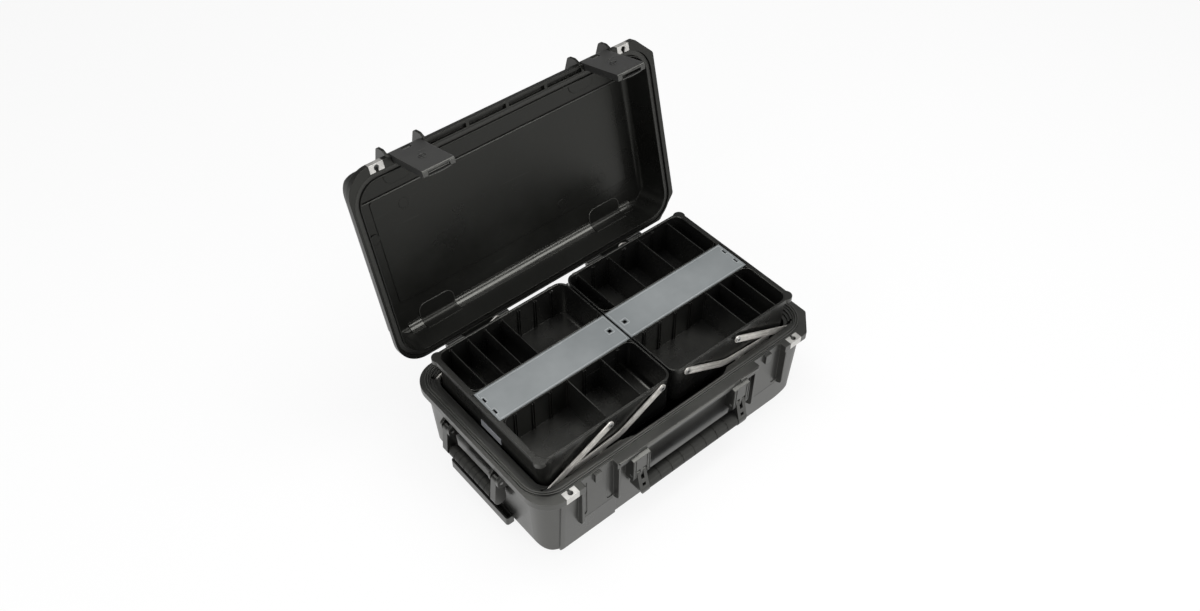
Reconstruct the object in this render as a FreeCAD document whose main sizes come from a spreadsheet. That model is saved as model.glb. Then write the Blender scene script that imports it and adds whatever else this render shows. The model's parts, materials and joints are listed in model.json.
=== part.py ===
import FreeCAD, Part
import math
import os
import re
import Sketcher

# Rolling hard tool case, standing open: base flat on the floor, lid leaning back on its
# hinge stop, two lift trays on folding steel arms, press latches, carry handles, a pull
# handle and two wheels. Origin: middle of the base's underside, X along the length,
# front towards -Y, Z up. Millimetres and degrees.

os.makedirs("parts", exist_ok=True)
doc = FreeCAD.newDocument("hard_tool_case")
sizes = doc.addObject("Spreadsheet::Sheet", "sizes")

# Each row: name, value, what it measures.
ROWS = [
    ("seam", 142, "floor to the joint between base and lid"),
    ("mouth_x", 262, "half length of the mouth"),
    ("mouth_y", 145.6, "half depth of the mouth, front to back"),
    ("mouth_corner", 36, "plan radius of the mouth's corners"),
    ("side_neck", 4.5, "mouth to the outer end wall at the seam"),
    ("front_neck", 14.4, "mouth to the outer front wall at the seam"),
    ("rear_neck", 10.4, "mouth to the outer rear wall at the seam"),
    ("body_corner_step", 4, "plan radius of the outer wall's corners over the mouth's"),
    ("body_draft", 3, "draft of the base's walls"),
    ("floor_thickness", 4.5, "thickness of the base floor"),
    ("wall", 3.7, "thickness of the base walls"),
    ("neck", 24, "height of the thick neck under the seam"),
    ("flange_end_reach", 14, "mouth to the flanges' edge at the handle end"),
    ("flange_wheel_reach", 18, "mouth to the flanges' edge at the wheel end"),
    ("flange_front_reach", 23.4, "mouth to the front edge of the flanges"),
    ("flange_rear_reach", 11.9, "mouth to the rear edge of the flanges"),
    ("flange_corner_step", 6, "plan radius of the flanges' left corners over the mouth's"),
    ("flange_front_chamfer", 33, "plan chamfer of the flanges' front corner at the wheel end"),
    ("flange_rear_chamfer", 36, "plan chamfer of the flanges' rear corner there"),
    ("flange_break", 8, "rounding where that chamfer meets the sides"),
    ("base_flange", 12, "height of the base flange"),
    ("lid_flange", 10, "height of the lid flange"),
    ("ridge_offset", 5.8, "mouth to the middle of the sealing ridge"),
    ("ridge_half", 2.6, "half width of the sealing ridge"),
    ("ridge_rise", 3.4, "height of the sealing ridge above the seam"),
    ("ridge_line_half", 0.7, "half width of the groove along the ridge's top"),
    ("ridge_line_depth", 1.4, "depth of that groove"),
    ("wheel_end_round", 62, "radius of the lower edge at the wheel end"),
    ("far_end_round", 16, "radius of the lower edge at the other end"),
    ("seam_gap", 0.3, "gap between the flanges when shut"),
    ("latch_x", 171, "middle of the case to the middle of a latch"),
    ("apron_inward", 37, "middle of a latch to the inner side of its apron"),
    ("apron_outward", 67, "middle of a latch to the outer side of its apron"),
    ("apron_rise", 2.6, "how far an apron stands proud of the front wall"),
    ("apron_corner_share", 0.9, "plan radius of the aprons' wall over the body's"),
    ("panel_half", 18.5, "half width of the panel between the two latch pockets"),
    ("pocket_overhang", 6, "latch's side to the far side of a latch pocket"),
    ("pocket_depth", 3.5, "front wall to the back of a latch pocket"),
    ("pocket_drop", 88, "seam down to the foot of a latch pocket"),
    ("pocket_round", 6, "rounding at the foot of a latch pocket"),
    ("guard_half", 2, "half thickness of a guard rib"),
    ("guard_inset", 0.5, "flange's front edge to the front of a guard rib"),
    ("latch_bay_gap", 3, "latch's side to the side of its bay in the flanges"),
    ("latch_bay_depth", 11.5, "how far that bay is cut into the flanges' front edge"),
    ("keeper_half", 6, "half width of a keeper lug"),
    ("keeper_set", 7, "flange's front edge back to the front of a keeper lug"),
    ("keeper_top", 3, "seam down to the top of a keeper lug"),
    ("keeper_foot", 20, "seam down to the foot of a keeper lug"),
    ("lid_inside", 57, "inside depth of the lid"),
    ("lid_skin", 3.5, "thickness of the lid's ceiling"),
    ("lid_wall_reach", 5, "mouth to the outside of the lid's walls at the seam"),
    ("lid_draft", 5, "draft of the lid's walls"),
    ("lid_fillet", 9, "rounding between the lid's walls and ceiling, inside"),
    ("lid_round", 15, "rounding of the shut lid's upper edges"),
    ("panel_end_inset", 34, "mouth to the ends of the raised ceiling panel"),
    ("panel_side_inset", 57.1, "mouth to the sides of the raised ceiling panel"),
    ("panel_rise", 1.4, "how far the ceiling panel stands proud"),
    ("arch_rear_half", 32, "half width of the arched bosses at the hinge side"),
    ("arch_rear_depth", 36.6, "mouth to the inner end of a rear boss"),
    ("arch_front_half", 24, "half width of the arched bosses at the latch side"),
    ("arch_front_depth", 44.6, "mouth to the inner end of a front boss"),
    ("arch_low", 38, "seam up to where the bosses start"),
    ("arch_rise", 1.2, "how far an arched boss stands proud"),
    ("arch_corner", 13, "plan radius of an arched boss"),
    ("groove_half", 4.2, "half width of the seal groove in the lid"),
    ("groove_depth", 8, "depth of the seal groove"),
    ("groove_wall", 1.9, "thickness beside the seal groove, outside the lid's wall"),
    ("seal_half", 3.8, "half width of the rubber seal"),
    ("seal_height", 3.8, "height of the rubber seal"),
    ("open_angle", 104.25, "how far the lid stands open"),
    ("hinge_reach", 9.7, "rear wall to the hinge axis"),
    ("slot_depth", 6, "depth of the slots in the lid's front flange"),
    ("slot_inset", 3.5, "flange's front edge to the front side of a slot"),
    ("slot_offset", 7, "middle of the sealing ridge to the back side of a slot"),
    ("slot_rib", 5, "width of the rib between two slots"),
    ("slot_pitch", 71, "from one slot to the next"),
    ("fin_gap", 2.7, "gap between a latch and the fin beside it"),
    ("fin_half", 2, "half thickness of a fin"),
    ("fin_reach", 7, "flange's front edge to the front of a fin"),
    ("fin_low", 2, "seam up to the lower edge of a fin"),
    ("fin_nose", 14, "seam up to the lower end of a fin's front"),
    ("fin_brow", 30, "seam up to the upper end of a fin's front"),
    ("fin_high", 47, "seam up to the upper edge of a fin"),
    ("fin_round", 8, "rounding of a fin's front corners"),
    ("knuckle_radius", 7, "outside radius of a hinge knuckle"),
    ("hinge_pin", 2.5, "radius of a hinge pin"),
    ("hinge_x", 140, "middle of the case to the middle of a hinge"),
    ("lid_knuckle_half", 28, "half length of the lid's knuckle"),
    ("base_knuckle", 30, "length of a base knuckle"),
    ("knuckle_gap", 0.4, "end gap between two knuckles"),
    ("pin_play", 0.05, "radial play of a pin in its hole"),
    ("latch_half", 26, "half width of a latch"),
    ("latch_pin_set", 4.5, "flange's front edge back to the latch pin"),
    ("latch_pin_rise", 8, "seam up to the latch pin"),
    ("latch_pin", 2, "radius of the latch pin"),
    ("latch_barrel", 5.2, "outside radius of the latch barrel"),
    ("latch_foot", 81, "seam down to the latch's free end"),
    ("latch_plate", 4.4, "thickness of the latch's front plate"),
    ("latch_cheek", 4, "thickness of the latch's side cheeks"),
    ("latch_back_gap", 1.4, "bay of the flanges to the back of a latch"),
    ("latch_window", 18, "half width of the window in the latch's free end"),
    ("latch_window_back", 1.4, "back of a latch to the back side of that window"),
    ("latch_round", 3, "rounding of the latch's outer corners"),
    ("latch_lug_half", 6.5, "half length of the lid lug that holds the latch pin"),
    ("latch_lug_gap", 0.4, "end gap between that lug and the latch"),
    ("latch_mark", 5, "radius of the round dimple on a latch"),
    ("latch_mark_depth", 0.6, "depth of that dimple"),
    ("latch_mark_drop", 40, "seam down to the middle of that dimple"),
    ("trigger_pin_drop", 45, "seam down to the trigger's pin"),
    ("trigger_pin", 1.2, "radius of the trigger pin"),
    ("trigger_half", 17, "half width of a trigger"),
    ("trigger_thickness", 3, "thickness of a trigger"),
    ("trigger_sink", 1.1, "back of a latch to the back of a trigger"),
    ("trigger_barrel", 2.2, "outside radius of the trigger's barrel"),
    ("trigger_foot", 70, "seam down to the foot of a trigger"),
    ("hook_gap", 0.8, "gap between a trigger's upper edge and the keeper"),
    ("plate_offset", 52, "middle of a latch to the middle of a padlock plate"),
    ("plate_half", 11.5, "half width of a padlock plate"),
    ("plate_steel", 2, "thickness of a padlock plate's steel"),
    ("plate_depth", 12.6, "depth of a padlock plate from the flange's edge"),
    ("plate_hole", 4.2, "radius of the padlock hole"),
    ("throat_share", 0.55, "half width of the hole's open side over its radius"),
    ("plate_hole_inset", 6.4, "flange's front edge to the padlock hole"),
    ("plate_play", 0.05, "play between a plate and its seat"),
    ("flange_hole", 4.8, "radius of the hole through the flange there"),
    ("front_arm_x", 101, "middle of the case to the middle of a front-handle arm"),
    ("prong_width", 5.8, "width of each of the two prongs of an arm"),
    ("rib_half", 2.4, "half width of the bracket's middle rib"),
    ("rib_gap", 0.5, "gap between a prong and the ribs beside it"),
    ("rib_outer", 7, "width of the bracket's outer ribs"),
    ("rib_drop", 58, "seam down to the foot of a handle bracket"),
    ("rib_reach", 15, "front wall to the front of a handle bracket"),
    ("rib_round", 4, "rounding of a bracket's lower front corner"),
    ("slot_top_gap", 4, "gap over a prong's eye in its slot"),
    ("shoulder_gap", 2.5, "bracket's foot to the shoulders of an arm"),
    ("front_pivot_reach", 10, "front wall to the front handle's pivot"),
    ("front_pivot_drop", 48, "seam down to the front handle's pivot"),
    ("front_eye", 5.4, "radius of a prong around the pivot"),
    ("front_grip_reach", 2, "front handle's pivot forward to its grip's axis"),
    ("front_grip_drop", 84, "seam down to the front grip's axis"),
    ("front_grip", 12, "radius of the front grip"),
    ("front_core", 7, "radius of the bar inside the front grip"),
    ("front_foot", 13, "radius of the arm around the grip's axis"),
    ("front_round", 20, "rounding of the front handle's lower corners"),
    ("window_half", 3.2, "half width of the window in a front-handle arm"),
    ("window_top", 68, "seam down to the top of that window"),
    ("window_foot", 74, "seam down to the foot of that window"),
    ("lug_thickness", 5, "thickness of a handle lug"),
    ("lug_gap", 0.5, "side gap between a lug and an arm"),
    ("lug_radius", 7, "radius of a handle lug around its pin"),
    ("lug_reach_share", 0.99, "corner of a rounded lug from its pin, over the lug's radius"),
    ("lug_round_share", 0.98, "rounding of such a corner, over the lug's radius"),
    ("handle_pin", 2.5, "radius of a handle pin"),
    ("grip_rings", 7, "number of grooves round a grip"),
    ("ring_half", 0.9, "half width of a grip groove"),
    ("ring_depth", 0.8, "depth of a grip groove"),
    ("grip_gap", 0.3, "gap between a grip and the frame inside it"),
    ("side_arm_y", 60, "middle of the case to the middle of a side-handle arm"),
    ("side_arm_half", 6, "half thickness of a side-handle arm"),
    ("side_pivot_inset", 1, "flange's end edge to the side handle's pivot"),
    ("side_pivot_drop", 30, "seam down to the side handle's pivot"),
    ("side_grip_reach", 1, "side handle's pivot outward to its grip's axis"),
    ("side_grip_drop", 74, "seam down to the side grip's axis"),
    ("side_grip", 9.5, "radius of the side grip"),
    ("side_core", 6, "radius of the bar inside the side grip"),
    ("side_grip_gap", 4, "side-handle arm to the end of its grip"),
    ("side_eye", 6.5, "radius of the side arm around its pivot"),
    ("side_foot", 10, "radius of the side arm around the grip's axis"),
    ("pull_bar_inset", 3, "flange's end edge to the outer face of the pull bar"),
    ("pull_bar_depth", 12.6, "depth of the pull bar"),
    ("pull_bar_half", 72, "half width of the pull bar"),
    ("pull_bar_low", 3, "floor to the underside of the pull bar"),
    ("pull_bar_height", 16, "height of the pull bar"),
    ("pull_bar_wall", 3, "wall of the pull bar's channel"),
    ("pull_bar_round", 4, "rounding of the pull bar's ends"),
    ("rod_inset", 22, "pull bar's end to a pull rod"),
    ("rod_rise", 7, "underside of the pull bar to a pull rod's axis"),
    ("rod_half_y", 6, "half width of a pull rod"),
    ("rod_half_z", 4, "half height of a pull rod"),
    ("rod_end", 168, "middle of the case to the inner end of the rods"),
    ("rod_play", 0.1, "play between a rod and its sleeve"),
    ("sleeve_wall", 1.4, "wall of a sleeve"),
    ("sleeve_inset", 9, "end wall's foot to the outer end of the sleeves"),
    ("sleeve_over", 8, "how far a sleeve runs past its rod"),
    ("channel_play", 0.3, "gap between a sleeve and the channel in the base"),
    ("channel_wall", 3, "wall over and beside that channel"),
    ("wheel_inset", 54, "flange's end edge to a wheel's axle"),
    ("wheel_lift", 1, "floor to the underside of a wheel"),
    ("wheel_radius", 37, "radius of a wheel"),
    ("wheel_y", 106, "middle of the case to the middle of a wheel"),
    ("wheel_half", 12, "half width of a wheel"),
    ("wheel_tread", 7, "thickness of the tyre"),
    ("wheel_hub", 9, "radius of the wheel's hub"),
    ("wheel_web_half", 3, "half thickness of the wheel's disc"),
    ("wheel_rim", 4, "thickness of the wheel's rim under the tyre"),
    ("axle", 4, "radius of a wheel axle"),
    ("well_gap", 3, "gap between a wheel and its well"),
    ("well_side_gap", 1.5, "gap beside a wheel in its well"),
    ("well_wall", 4, "wall of a wheel well"),
    ("frame_end_width", 15, "mouth to a tray frame's inner end face"),
    ("frame_side_width", 11.6, "mouth to a tray frame's inner side face"),
    ("frame_fit", 0.4, "gap between a tray frame and the mouth"),
    ("frame_drop", 1, "seam down to the top of a tray frame"),
    ("frame_depth", 25, "height of a tray frame under its top"),
    ("frame_corner_step", 12, "plan radius of a frame's inner corner under the mouth's"),
    ("frame_step_drop", 3, "drop of each step inside a frame"),
    ("frame_step", 4.6, "width of each step inside a frame"),
    ("frame_side_share", 0.75, "width of a step along the sides over its width at the end"),
    ("frame_slant", 19, "length of the slanted end of a frame's sides"),
    ("frame_heel", 89, "middle of the case to a frame's inner end, at the wall"),
    ("lane_outward", 11.3, "straight arm's lower pivot to the outer end of its lane"),
    ("lane_inward", 44, "straight arm's lower pivot to the inner end of its lane"),
    ("lane_gap", 0.5, "gap on both sides of what swings in that lane"),
    ("rivet_sink", 4, "how far a lower rivet reaches into the frame's side"),
    ("post_half", 9, "half width of a pivot post under a frame"),
    ("post_foot", 13, "arms' lower pivots down to the foot of a pivot post"),
    ("tray_end_gap", 3.5, "gap between a tray's outer end and its frame"),
    ("tray_inner", 1.5, "middle of the case to a tray's inner end"),
    ("tray_side_gap", 6.5, "gap between a tray's side and its frame, for the arms"),
    ("tray_low", 17, "seam down to a tray's underside"),
    ("tray_headroom", 7, "gap between a tray's rim and the shut lid's ceiling"),
    ("tray_corner", 17, "plan radius of a tray's corners"),
    ("tray_wall", 2.6, "wall of a tray"),
    ("tray_floor", 2.6, "floor of a tray"),
    ("tray_bin_corner", 5, "plan radius inside a tray's bins"),
    ("tray_foot_round", 9, "rounding of a tray's lower end edges"),
    ("rim_height", 8, "height of the thick rim round a tray's top"),
    ("rim_side_reach", 1.2, "how far the rim stands out along a tray's sides"),
    ("rim_end_reach", 6, "how far the rim stands out at a tray's outer end"),
    ("rim_boss", 10, "radius of the bosses at the rim's outer corners"),
    ("rim_boss_reach", 2.4, "how far those bosses stand out past the rim"),
    ("row_rear", 29.3, "middle to the rear side of a tray's middle row, outside its wall"),
    ("row_front", 33.3, "middle to the front side of that row, outside its wall"),
    ("cover_seat", 2.2, "depth of the seat of a bin cover"),
    ("cover_thickness", 2, "thickness of a bin cover"),
    ("cover_play", 0.3, "gap round a bin cover"),
    ("cover_hinge_inset", 5.5, "tray's outer end to the slots of a bin cover's hinge"),
    ("cover_slot_y", 13, "middle row's middle to a cover's hinge slot"),
    ("cover_slot_half", 1.6, "half width of a cover's hinge slot"),
    ("cover_slot_length", 4.4, "half length of a cover's hinge slot"),
    ("cover_latch_inset", 13.5, "tray's inner end to a cover's latch hole"),
    ("cover_latch_half", 3.4, "half width of a cover's latch hole"),
    ("divider_half", 0.8, "half thickness of a divider"),
    ("divider_drop", 4, "tray rim down to a divider's top"),
    ("divider_gap", 0.3, "end gap of a divider"),
    ("guide_gap", 0.3, "side gap between a divider and its guide ribs"),
    ("guide_half", 0.7, "half thickness of a guide rib"),
    ("guide_reach", 2, "how far a guide rib stands out"),
    ("arm_inset", 6.6, "frame's end face to the straight arm's lower pivot"),
    ("arm_low_drop", 14, "seam down to the arms' lower pivots"),
    ("arm_rise", 56, "arms' lower pivots up to their upper pivots, trays down"),
    ("pivot_inset", 23.6, "tray's inner end to the curved arm's upper pivot"),
    ("arm_spread", 101, "distance between the two arms' pivots"),
    ("arm_half", 6, "half width of an arm"),
    ("arm_end_round", 5.9, "rounding of an arm's ends"),
    ("arm_steel", 2, "thickness of an arm"),
    ("head_gap", 0.5, "gap between a rivet head and the tray"),
    ("arm_gap", 1.2, "gap between the curved and the straight arms"),
    ("bend_ahead", 34.9, "curved arm's lower pivot inward to its bend"),
    ("bend_lift", 14.8, "curved arm's lower pivot up to its bend"),
    ("curved_tail_slope", 5.6, "slope of the curved arm's lower part"),
    ("curved_lower", 100, "length of the curved arm's lower part"),
    ("curved_bend", 60, "radius of the curved arm's bend"),
    ("curved_eye", 8.5, "radius of the curved arm around its lower pivot"),
    ("rivet", 3, "radius of an arm rivet"),
    ("rivet_head", 4.8, "radius of a rivet head"),
    ("rivet_head_thickness", 1.1, "thickness of a rivet head"),
    ("arm_play", 0.2, "gap between an arm and what is beside it"),
    ("tab_thickness", 1, "thickness of a tray's end tab"),
    ("tab_half", 24, "half length of a tray's end tab"),
    ("tab_y", 8, "middle of the case to the middle of an end tab"),
    ("tab_low", 6, "seam down to the underside of an end tab"),
    ("tab_high", 6, "seam up to the top of an end tab"),
    ("guide_first", 26, "a tray's outer end to its first divider"),
    ("guide_last", 25.8, "a tray's inner end to its last divider position"),
    ("guide_count", 7, "number of divider positions in a row"),
    ("edge_gap", 1, "how far the tools reach past what they cut"),
]

# Places and sizes that follow from those above.
PLACES = {
    "body_x": "mouth_x + side_neck",
    "body_front": "mouth_y + front_neck",
    "body_rear": "mouth_y + rear_neck",
    "body_corner": "mouth_corner + body_corner_step",
    "flange_x": "mouth_x + flange_end_reach",
    "flange_wheel_x": "mouth_x + flange_wheel_reach",
    "flange_front": "mouth_y + flange_front_reach",
    "flange_rear": "mouth_y + flange_rear_reach",
    "flange_corner": "mouth_corner + flange_corner_step",
    "ridge_x": "mouth_x + ridge_offset",
    "ridge_y": "mouth_y + ridge_offset",
    "ridge_corner": "mouth_corner + ridge_offset",
    "apron_inner": "latch_x - apron_inward",
    "apron_outer": "latch_x + apron_outward",
    "pocket_outer": "latch_half + pocket_overhang",
    "pocket_back": "body_front - pocket_depth",
    "guard_front": "flange_front - guard_inset",
    "latch_bay_half": "latch_half + latch_bay_gap",
    "latch_bay_front": "flange_front - latch_bay_depth",
    "keeper_front": "flange_front - keeper_set",
    "lid_height": "lid_inside + lid_skin",
    "lid_wall_x": "mouth_x + lid_wall_reach",
    "lid_wall_y": "mouth_y + lid_wall_reach",
    "lid_corner": "mouth_corner + lid_wall_reach",
    "panel_x": "mouth_x - panel_end_inset",
    "panel_y": "mouth_y - panel_side_inset",
    "arch_rear_reach": "mouth_y - arch_rear_depth",
    "arch_front_reach": "mouth_y - arch_front_depth",
    "hinge_y": "body_rear + hinge_reach",
    "slot_front": "flange_front - slot_inset",
    "slot_back": "ridge_y + slot_offset",
    "slot_length": "slot_pitch - slot_rib",
    "fin_offset": "latch_half + fin_gap + fin_half",
    "fin_front": "flange_front + fin_reach",
    "latch_pin_y": "flange_front - latch_pin_set",
    "latch_back": "latch_bay_front + latch_back_gap",
    "latch_window_low": "latch_back + latch_window_back",
    "trigger_back": "latch_back + trigger_sink",
    "trigger_front": "trigger_back + trigger_thickness",
    "plate_x": "latch_x + plate_offset",
    "plate_back": "flange_front - plate_depth",
    "plate_hole_y": "flange_front - plate_hole_inset",
    "front_pivot_y": "body_front + front_pivot_reach",
    "front_grip_y": "front_pivot_y + front_grip_reach",
    "front_arm_half": "rib_half + rib_gap + prong_width",
    "front_grip_half": "front_arm_x - front_arm_half",
    "bracket_half": "front_arm_half + rib_gap + rib_outer",
    "side_pivot_x": "flange_x - side_pivot_inset",
    "side_grip_x": "side_pivot_x + side_grip_reach",
    "side_grip_half": "side_arm_y - side_arm_half - side_grip_gap",
    "pull_bar_out": "flange_x - pull_bar_inset",
    "pull_bar_in": "pull_bar_out - pull_bar_depth",
    "pull_bar_high": "pull_bar_low + pull_bar_height",
    "rod_y": "pull_bar_half - rod_inset",
    "rod_z": "pull_bar_low + rod_rise",
    "sleeve_start": "body_x - seam * tan(body_draft) - sleeve_inset",
    "sleeve_end": "rod_end + sleeve_over",
    "wheel_x": "flange_x - wheel_inset",
    "wheel_z": "wheel_radius + wheel_lift",
    "frame_x": "mouth_x - frame_end_width",
    "frame_y": "mouth_y - frame_side_width",
    "frame_corner": "mouth_corner - frame_corner_step",
    "frame_toe": "frame_heel + frame_slant",
    "lane_end": "arm_low_x + lane_outward",
    "lane_start": "arm_low_x - lane_inward",
    "rivet_seat": "frame_y + rivet_sink",
    "post_drop": "arm_low_drop + post_foot",
    "tray_outer": "frame_x - tray_end_gap",
    "tray_y": "frame_y - tray_side_gap",
    "tray_high": "lid_inside - tray_headroom",
    "cover_hinge": "tray_outer - cover_hinge_inset",
    "cover_latch_x": "tray_inner + cover_latch_inset",
    "guide_pitch": "(tray_outer - tray_inner - guide_first - guide_last) / (guide_count - 1)",
    "arm_low_x": "frame_x - arm_inset",
    "arm_run": "arm_low_x - tray_inner - pivot_inset - arm_spread",
    "arm_angle": "atan(arm_rise / arm_run) / 1deg",
    "curved_y": "tray_y + head_gap + rivet_head_thickness + arm_play",
    "straight_y": "curved_y + arm_steel + arm_gap",
    "curved_slope": "atan((arm_rise - bend_lift) / (arm_run - bend_ahead)) / 1deg",
}

# Helpers


def name_sizes():
    for index, (name, value, meaning) in enumerate(ROWS, start=1):
        sizes.set("A%d" % index, meaning)
        sizes.set("B%d" % index, str(value))
        sizes.setAlias("B%d" % index, name)
    doc.recompute()


def spelled(text):
    """Write out each place that follows from others in the sheet's own names."""
    names = r"\b(%s)\b" % "|".join(PLACES)
    while re.search(names, text):
        text = re.sub(names, lambda found: "(%s)" % PLACES[found.group(1)], text)
    return text


def bound(text):
    """Point each name in a formula at its cell of the sheet."""
    functions = r"(?<![\w.])(?!cos\b|sin\b|tan\b|atan\b)"
    return re.sub(functions + r"([a-z]\w*[a-z])\b", r"sizes.\1", spelled(str(text)))


def number(text):
    result = sizes.evalExpression(bound(text))
    return float(getattr(result, "Value", result))


PLANES = {
    "XY": (FreeCAD.Rotation(), FreeCAD.Vector(0, 0, 1), "z"),
    "XZ": (FreeCAD.Rotation(FreeCAD.Vector(1, 0, 0), 90), FreeCAD.Vector(0, 1, 0), "y"),
    "YZ": (FreeCAD.Rotation(FreeCAD.Vector(1, 1, 1), 120), FreeCAD.Vector(1, 0, 0), "x"),
}
AXES = {
    "x": (FreeCAD.Rotation(FreeCAD.Vector(0, 1, 0), 90), ("y", "z")),
    "y": (FreeCAD.Rotation(FreeCAD.Vector(1, 0, 0), -90), ("x", "z")),
    "z": (FreeCAD.Rotation(), ("x", "y")),
}


def outline(name, plane, at, corners):
    """A closed sketch through the corners (u, v, optional radius), all of them bound to the sheet."""
    sketch = doc.addObject("Sketcher::SketchObject", name)
    turn, _, axis = PLANES[plane]
    sketch.Placement = FreeCAD.Placement(FreeCAD.Vector(), turn)
    sketch.setExpression("Placement.Base." + axis, bound(at))
    points = [FreeCAD.Vector(number(c[0]), number(c[1]), 0) for c in corners]
    radii = [number(c[2]) if len(c) > 2 else 0 for c in corners]
    count = len(points)
    arrive, leave, arcs = [], [], []
    for i, point in enumerate(points):
        before = (points[i - 1] - point).normalize()
        after = (points[(i + 1) % count] - point).normalize()
        if not radii[i]:
            arrive.append(point)
            leave.append(point)
            arcs.append(None)
            continue
        half = before.getAngle(after) / 2
        reach = radii[i] / math.tan(half)
        start, end = point + before * reach, point + after * reach
        middle = point + (before + after).normalize() * (radii[i] / math.sin(half))
        nearest = middle + (point - middle).normalize() * radii[i]
        arrive.append(start)
        leave.append(end)
        arcs.append(Part.Arc(start, nearest, end))
    lines = [sketch.addGeometry(Part.LineSegment(leave[i], arrive[(i + 1) % count])) for i in range(count)]
    for i, point in enumerate(points):
        last, following = lines[i - 1], lines[i]
        if arcs[i] is None:
            sketch.addConstraint(Sketcher.Constraint("Coincident", last, 2, following, 1))
            pin, end = following, 1
        else:
            arc = sketch.addGeometry(arcs[i])
            begins = sketch.getPoint(arc, 1).distanceToPoint(
                arrive[i]
            ) < sketch.getPoint(arc, 2).distanceToPoint(arrive[i])
            first, second = (1, 2) if begins else (2, 1)
            sketch.addConstraint(Sketcher.Constraint("Tangent", last, 2, arc, first))
            sketch.addConstraint(Sketcher.Constraint("Tangent", following, 1, arc, second))
            size = sketch.addConstraint(Sketcher.Constraint("Radius", arc, radii[i]))
            sketch.setExpression("Constraints[%d]" % size, bound(corners[i][2]))
            pin, end = sketch.addGeometry(Part.Point(point), True), 1
            sketch.addConstraint(Sketcher.Constraint("PointOnObject", pin, 1, last))
            sketch.addConstraint(Sketcher.Constraint("PointOnObject", pin, 1, following))
        for kind, text, value in (
            ("DistanceX", corners[i][0], point.x), ("DistanceY", corners[i][1], point.y)
        ):
            place = sketch.addConstraint(Sketcher.Constraint(kind, -1, 1, pin, end, value))
            sketch.setExpression("Constraints[%d]" % place, bound(text))
    return sketch


def prism(name, plane, corners, low, high, draft=None):
    """The outline run from low to high. With a draft it starts at high and narrows on its way to low."""
    shape = doc.addObject("Part::Extrusion", name)
    sketch = outline(name + "_outline", plane, high if draft else low, corners)
    shape.Base = sketch
    shape.DirMode = "Custom"
    shape.Dir = PLANES[plane][1] * (-1 if draft else 1)
    shape.Solid = True
    shape.setExpression("LengthFwd", bound("(%s) - (%s)" % (high, low)))
    if draft:
        shape.setExpression("TaperAngle", bound("-(%s)" % draft))
    return shape


def block(name, x, y, z):
    """A box given by its two ends along each axis."""
    shape = doc.addObject("Part::Box", name)
    for side, axis, (low, high) in (("Length", "x", x), ("Width", "y", y), ("Height", "z", z)):
        shape.setExpression(side, bound("(%s) - (%s)" % (high, low)))
        shape.setExpression("Placement.Base." + axis, bound(low))
    return shape


def round_bar(name, axis, radius, low, high, centre):
    """A cylinder along an axis, between low and high, through centre."""
    shape = doc.addObject("Part::Cylinder", name)
    turn, others = AXES[axis]
    shape.Placement = FreeCAD.Placement(FreeCAD.Vector(), turn)
    shape.setExpression("Radius", bound(radius))
    shape.setExpression("Height", bound("(%s) - (%s)" % (high, low)))
    shape.setExpression("Placement.Base." + axis, bound(low))
    for other, text in zip(others, centre):
        shape.setExpression("Placement.Base." + other, bound(text))
    return shape


def joined(name, parts):
    shape = doc.addObject("Part::MultiFuse", name)
    shape.Shapes = parts
    shape.Refine = True
    return shape


def cut(name, body, tools):
    shape = doc.addObject("Part::Cut", name)
    shape.Base = body
    shape.Tool = tools[0] if len(tools) == 1 else joined(name + "_tools", tools)
    shape.Refine = True
    return shape


def shared(name, parts):
    shape = doc.addObject("Part::MultiCommon", name)
    shape.Shapes = parts
    shape.Refine = True
    return shape


def mirrored(name, source, axis="x"):
    shape = doc.addObject("Part::Mirroring", name)
    shape.Source = source
    shape.Normal = FreeCAD.Vector(1, 0, 0) if axis == "x" else FreeCAD.Vector(0, 1, 0)
    return shape


def grouped(name, parts):
    """Separate solids kept as one piece of the assembly."""
    shape = doc.addObject("Part::Compound", name)
    shape.Links = parts
    return shape


def oblong(x, front, rear, corner):
    return [
        ("-(%s)" % x, "-(%s)" % front, corner),
        (x, "-(%s)" % front, corner),
        (x, rear, corner),
        ("-(%s)" % x, rear, corner),
    ]


def ring(name, half, low, high):
    """A band of the given half width along the sealing line."""
    outer = prism(
        name + "_outer",
        "XY",
        oblong(
            "ridge_x + %s" % half, "ridge_y + %s" % half, "ridge_y + %s" % half, "ridge_corner + %s" % half
        ),
        low,
        high,
    )
    inner = prism(
        name + "_inner",
        "XY",
        oblong(
            "ridge_x - %s" % half, "ridge_y - %s" % half, "ridge_y - %s" % half, "ridge_corner - %s" % half
        ),
        low,
        high,
    )
    return cut(name, outer, [inner])


def flange(name, low, high):
    """A rim flange: round corners at one end, chamfered ones at the wheel end."""
    corners = [
        ("-flange_x", "-flange_front", "flange_corner"),
        ("flange_wheel_x - flange_front_chamfer", "-flange_front", "flange_break"),
        ("flange_wheel_x", "-flange_front + flange_front_chamfer", "flange_break"),
        ("flange_wheel_x", "flange_rear - flange_rear_chamfer", "flange_break"),
        ("flange_wheel_x - flange_rear_chamfer", "flange_rear", "flange_break"),
        ("-flange_x", "flange_rear", "flange_corner"),
    ]
    return prism(name, "XY", corners, low, high)


NODES = []


def node(label, shape):
    shape.Label = label
    NODES.append(shape)
    return shape


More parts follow.
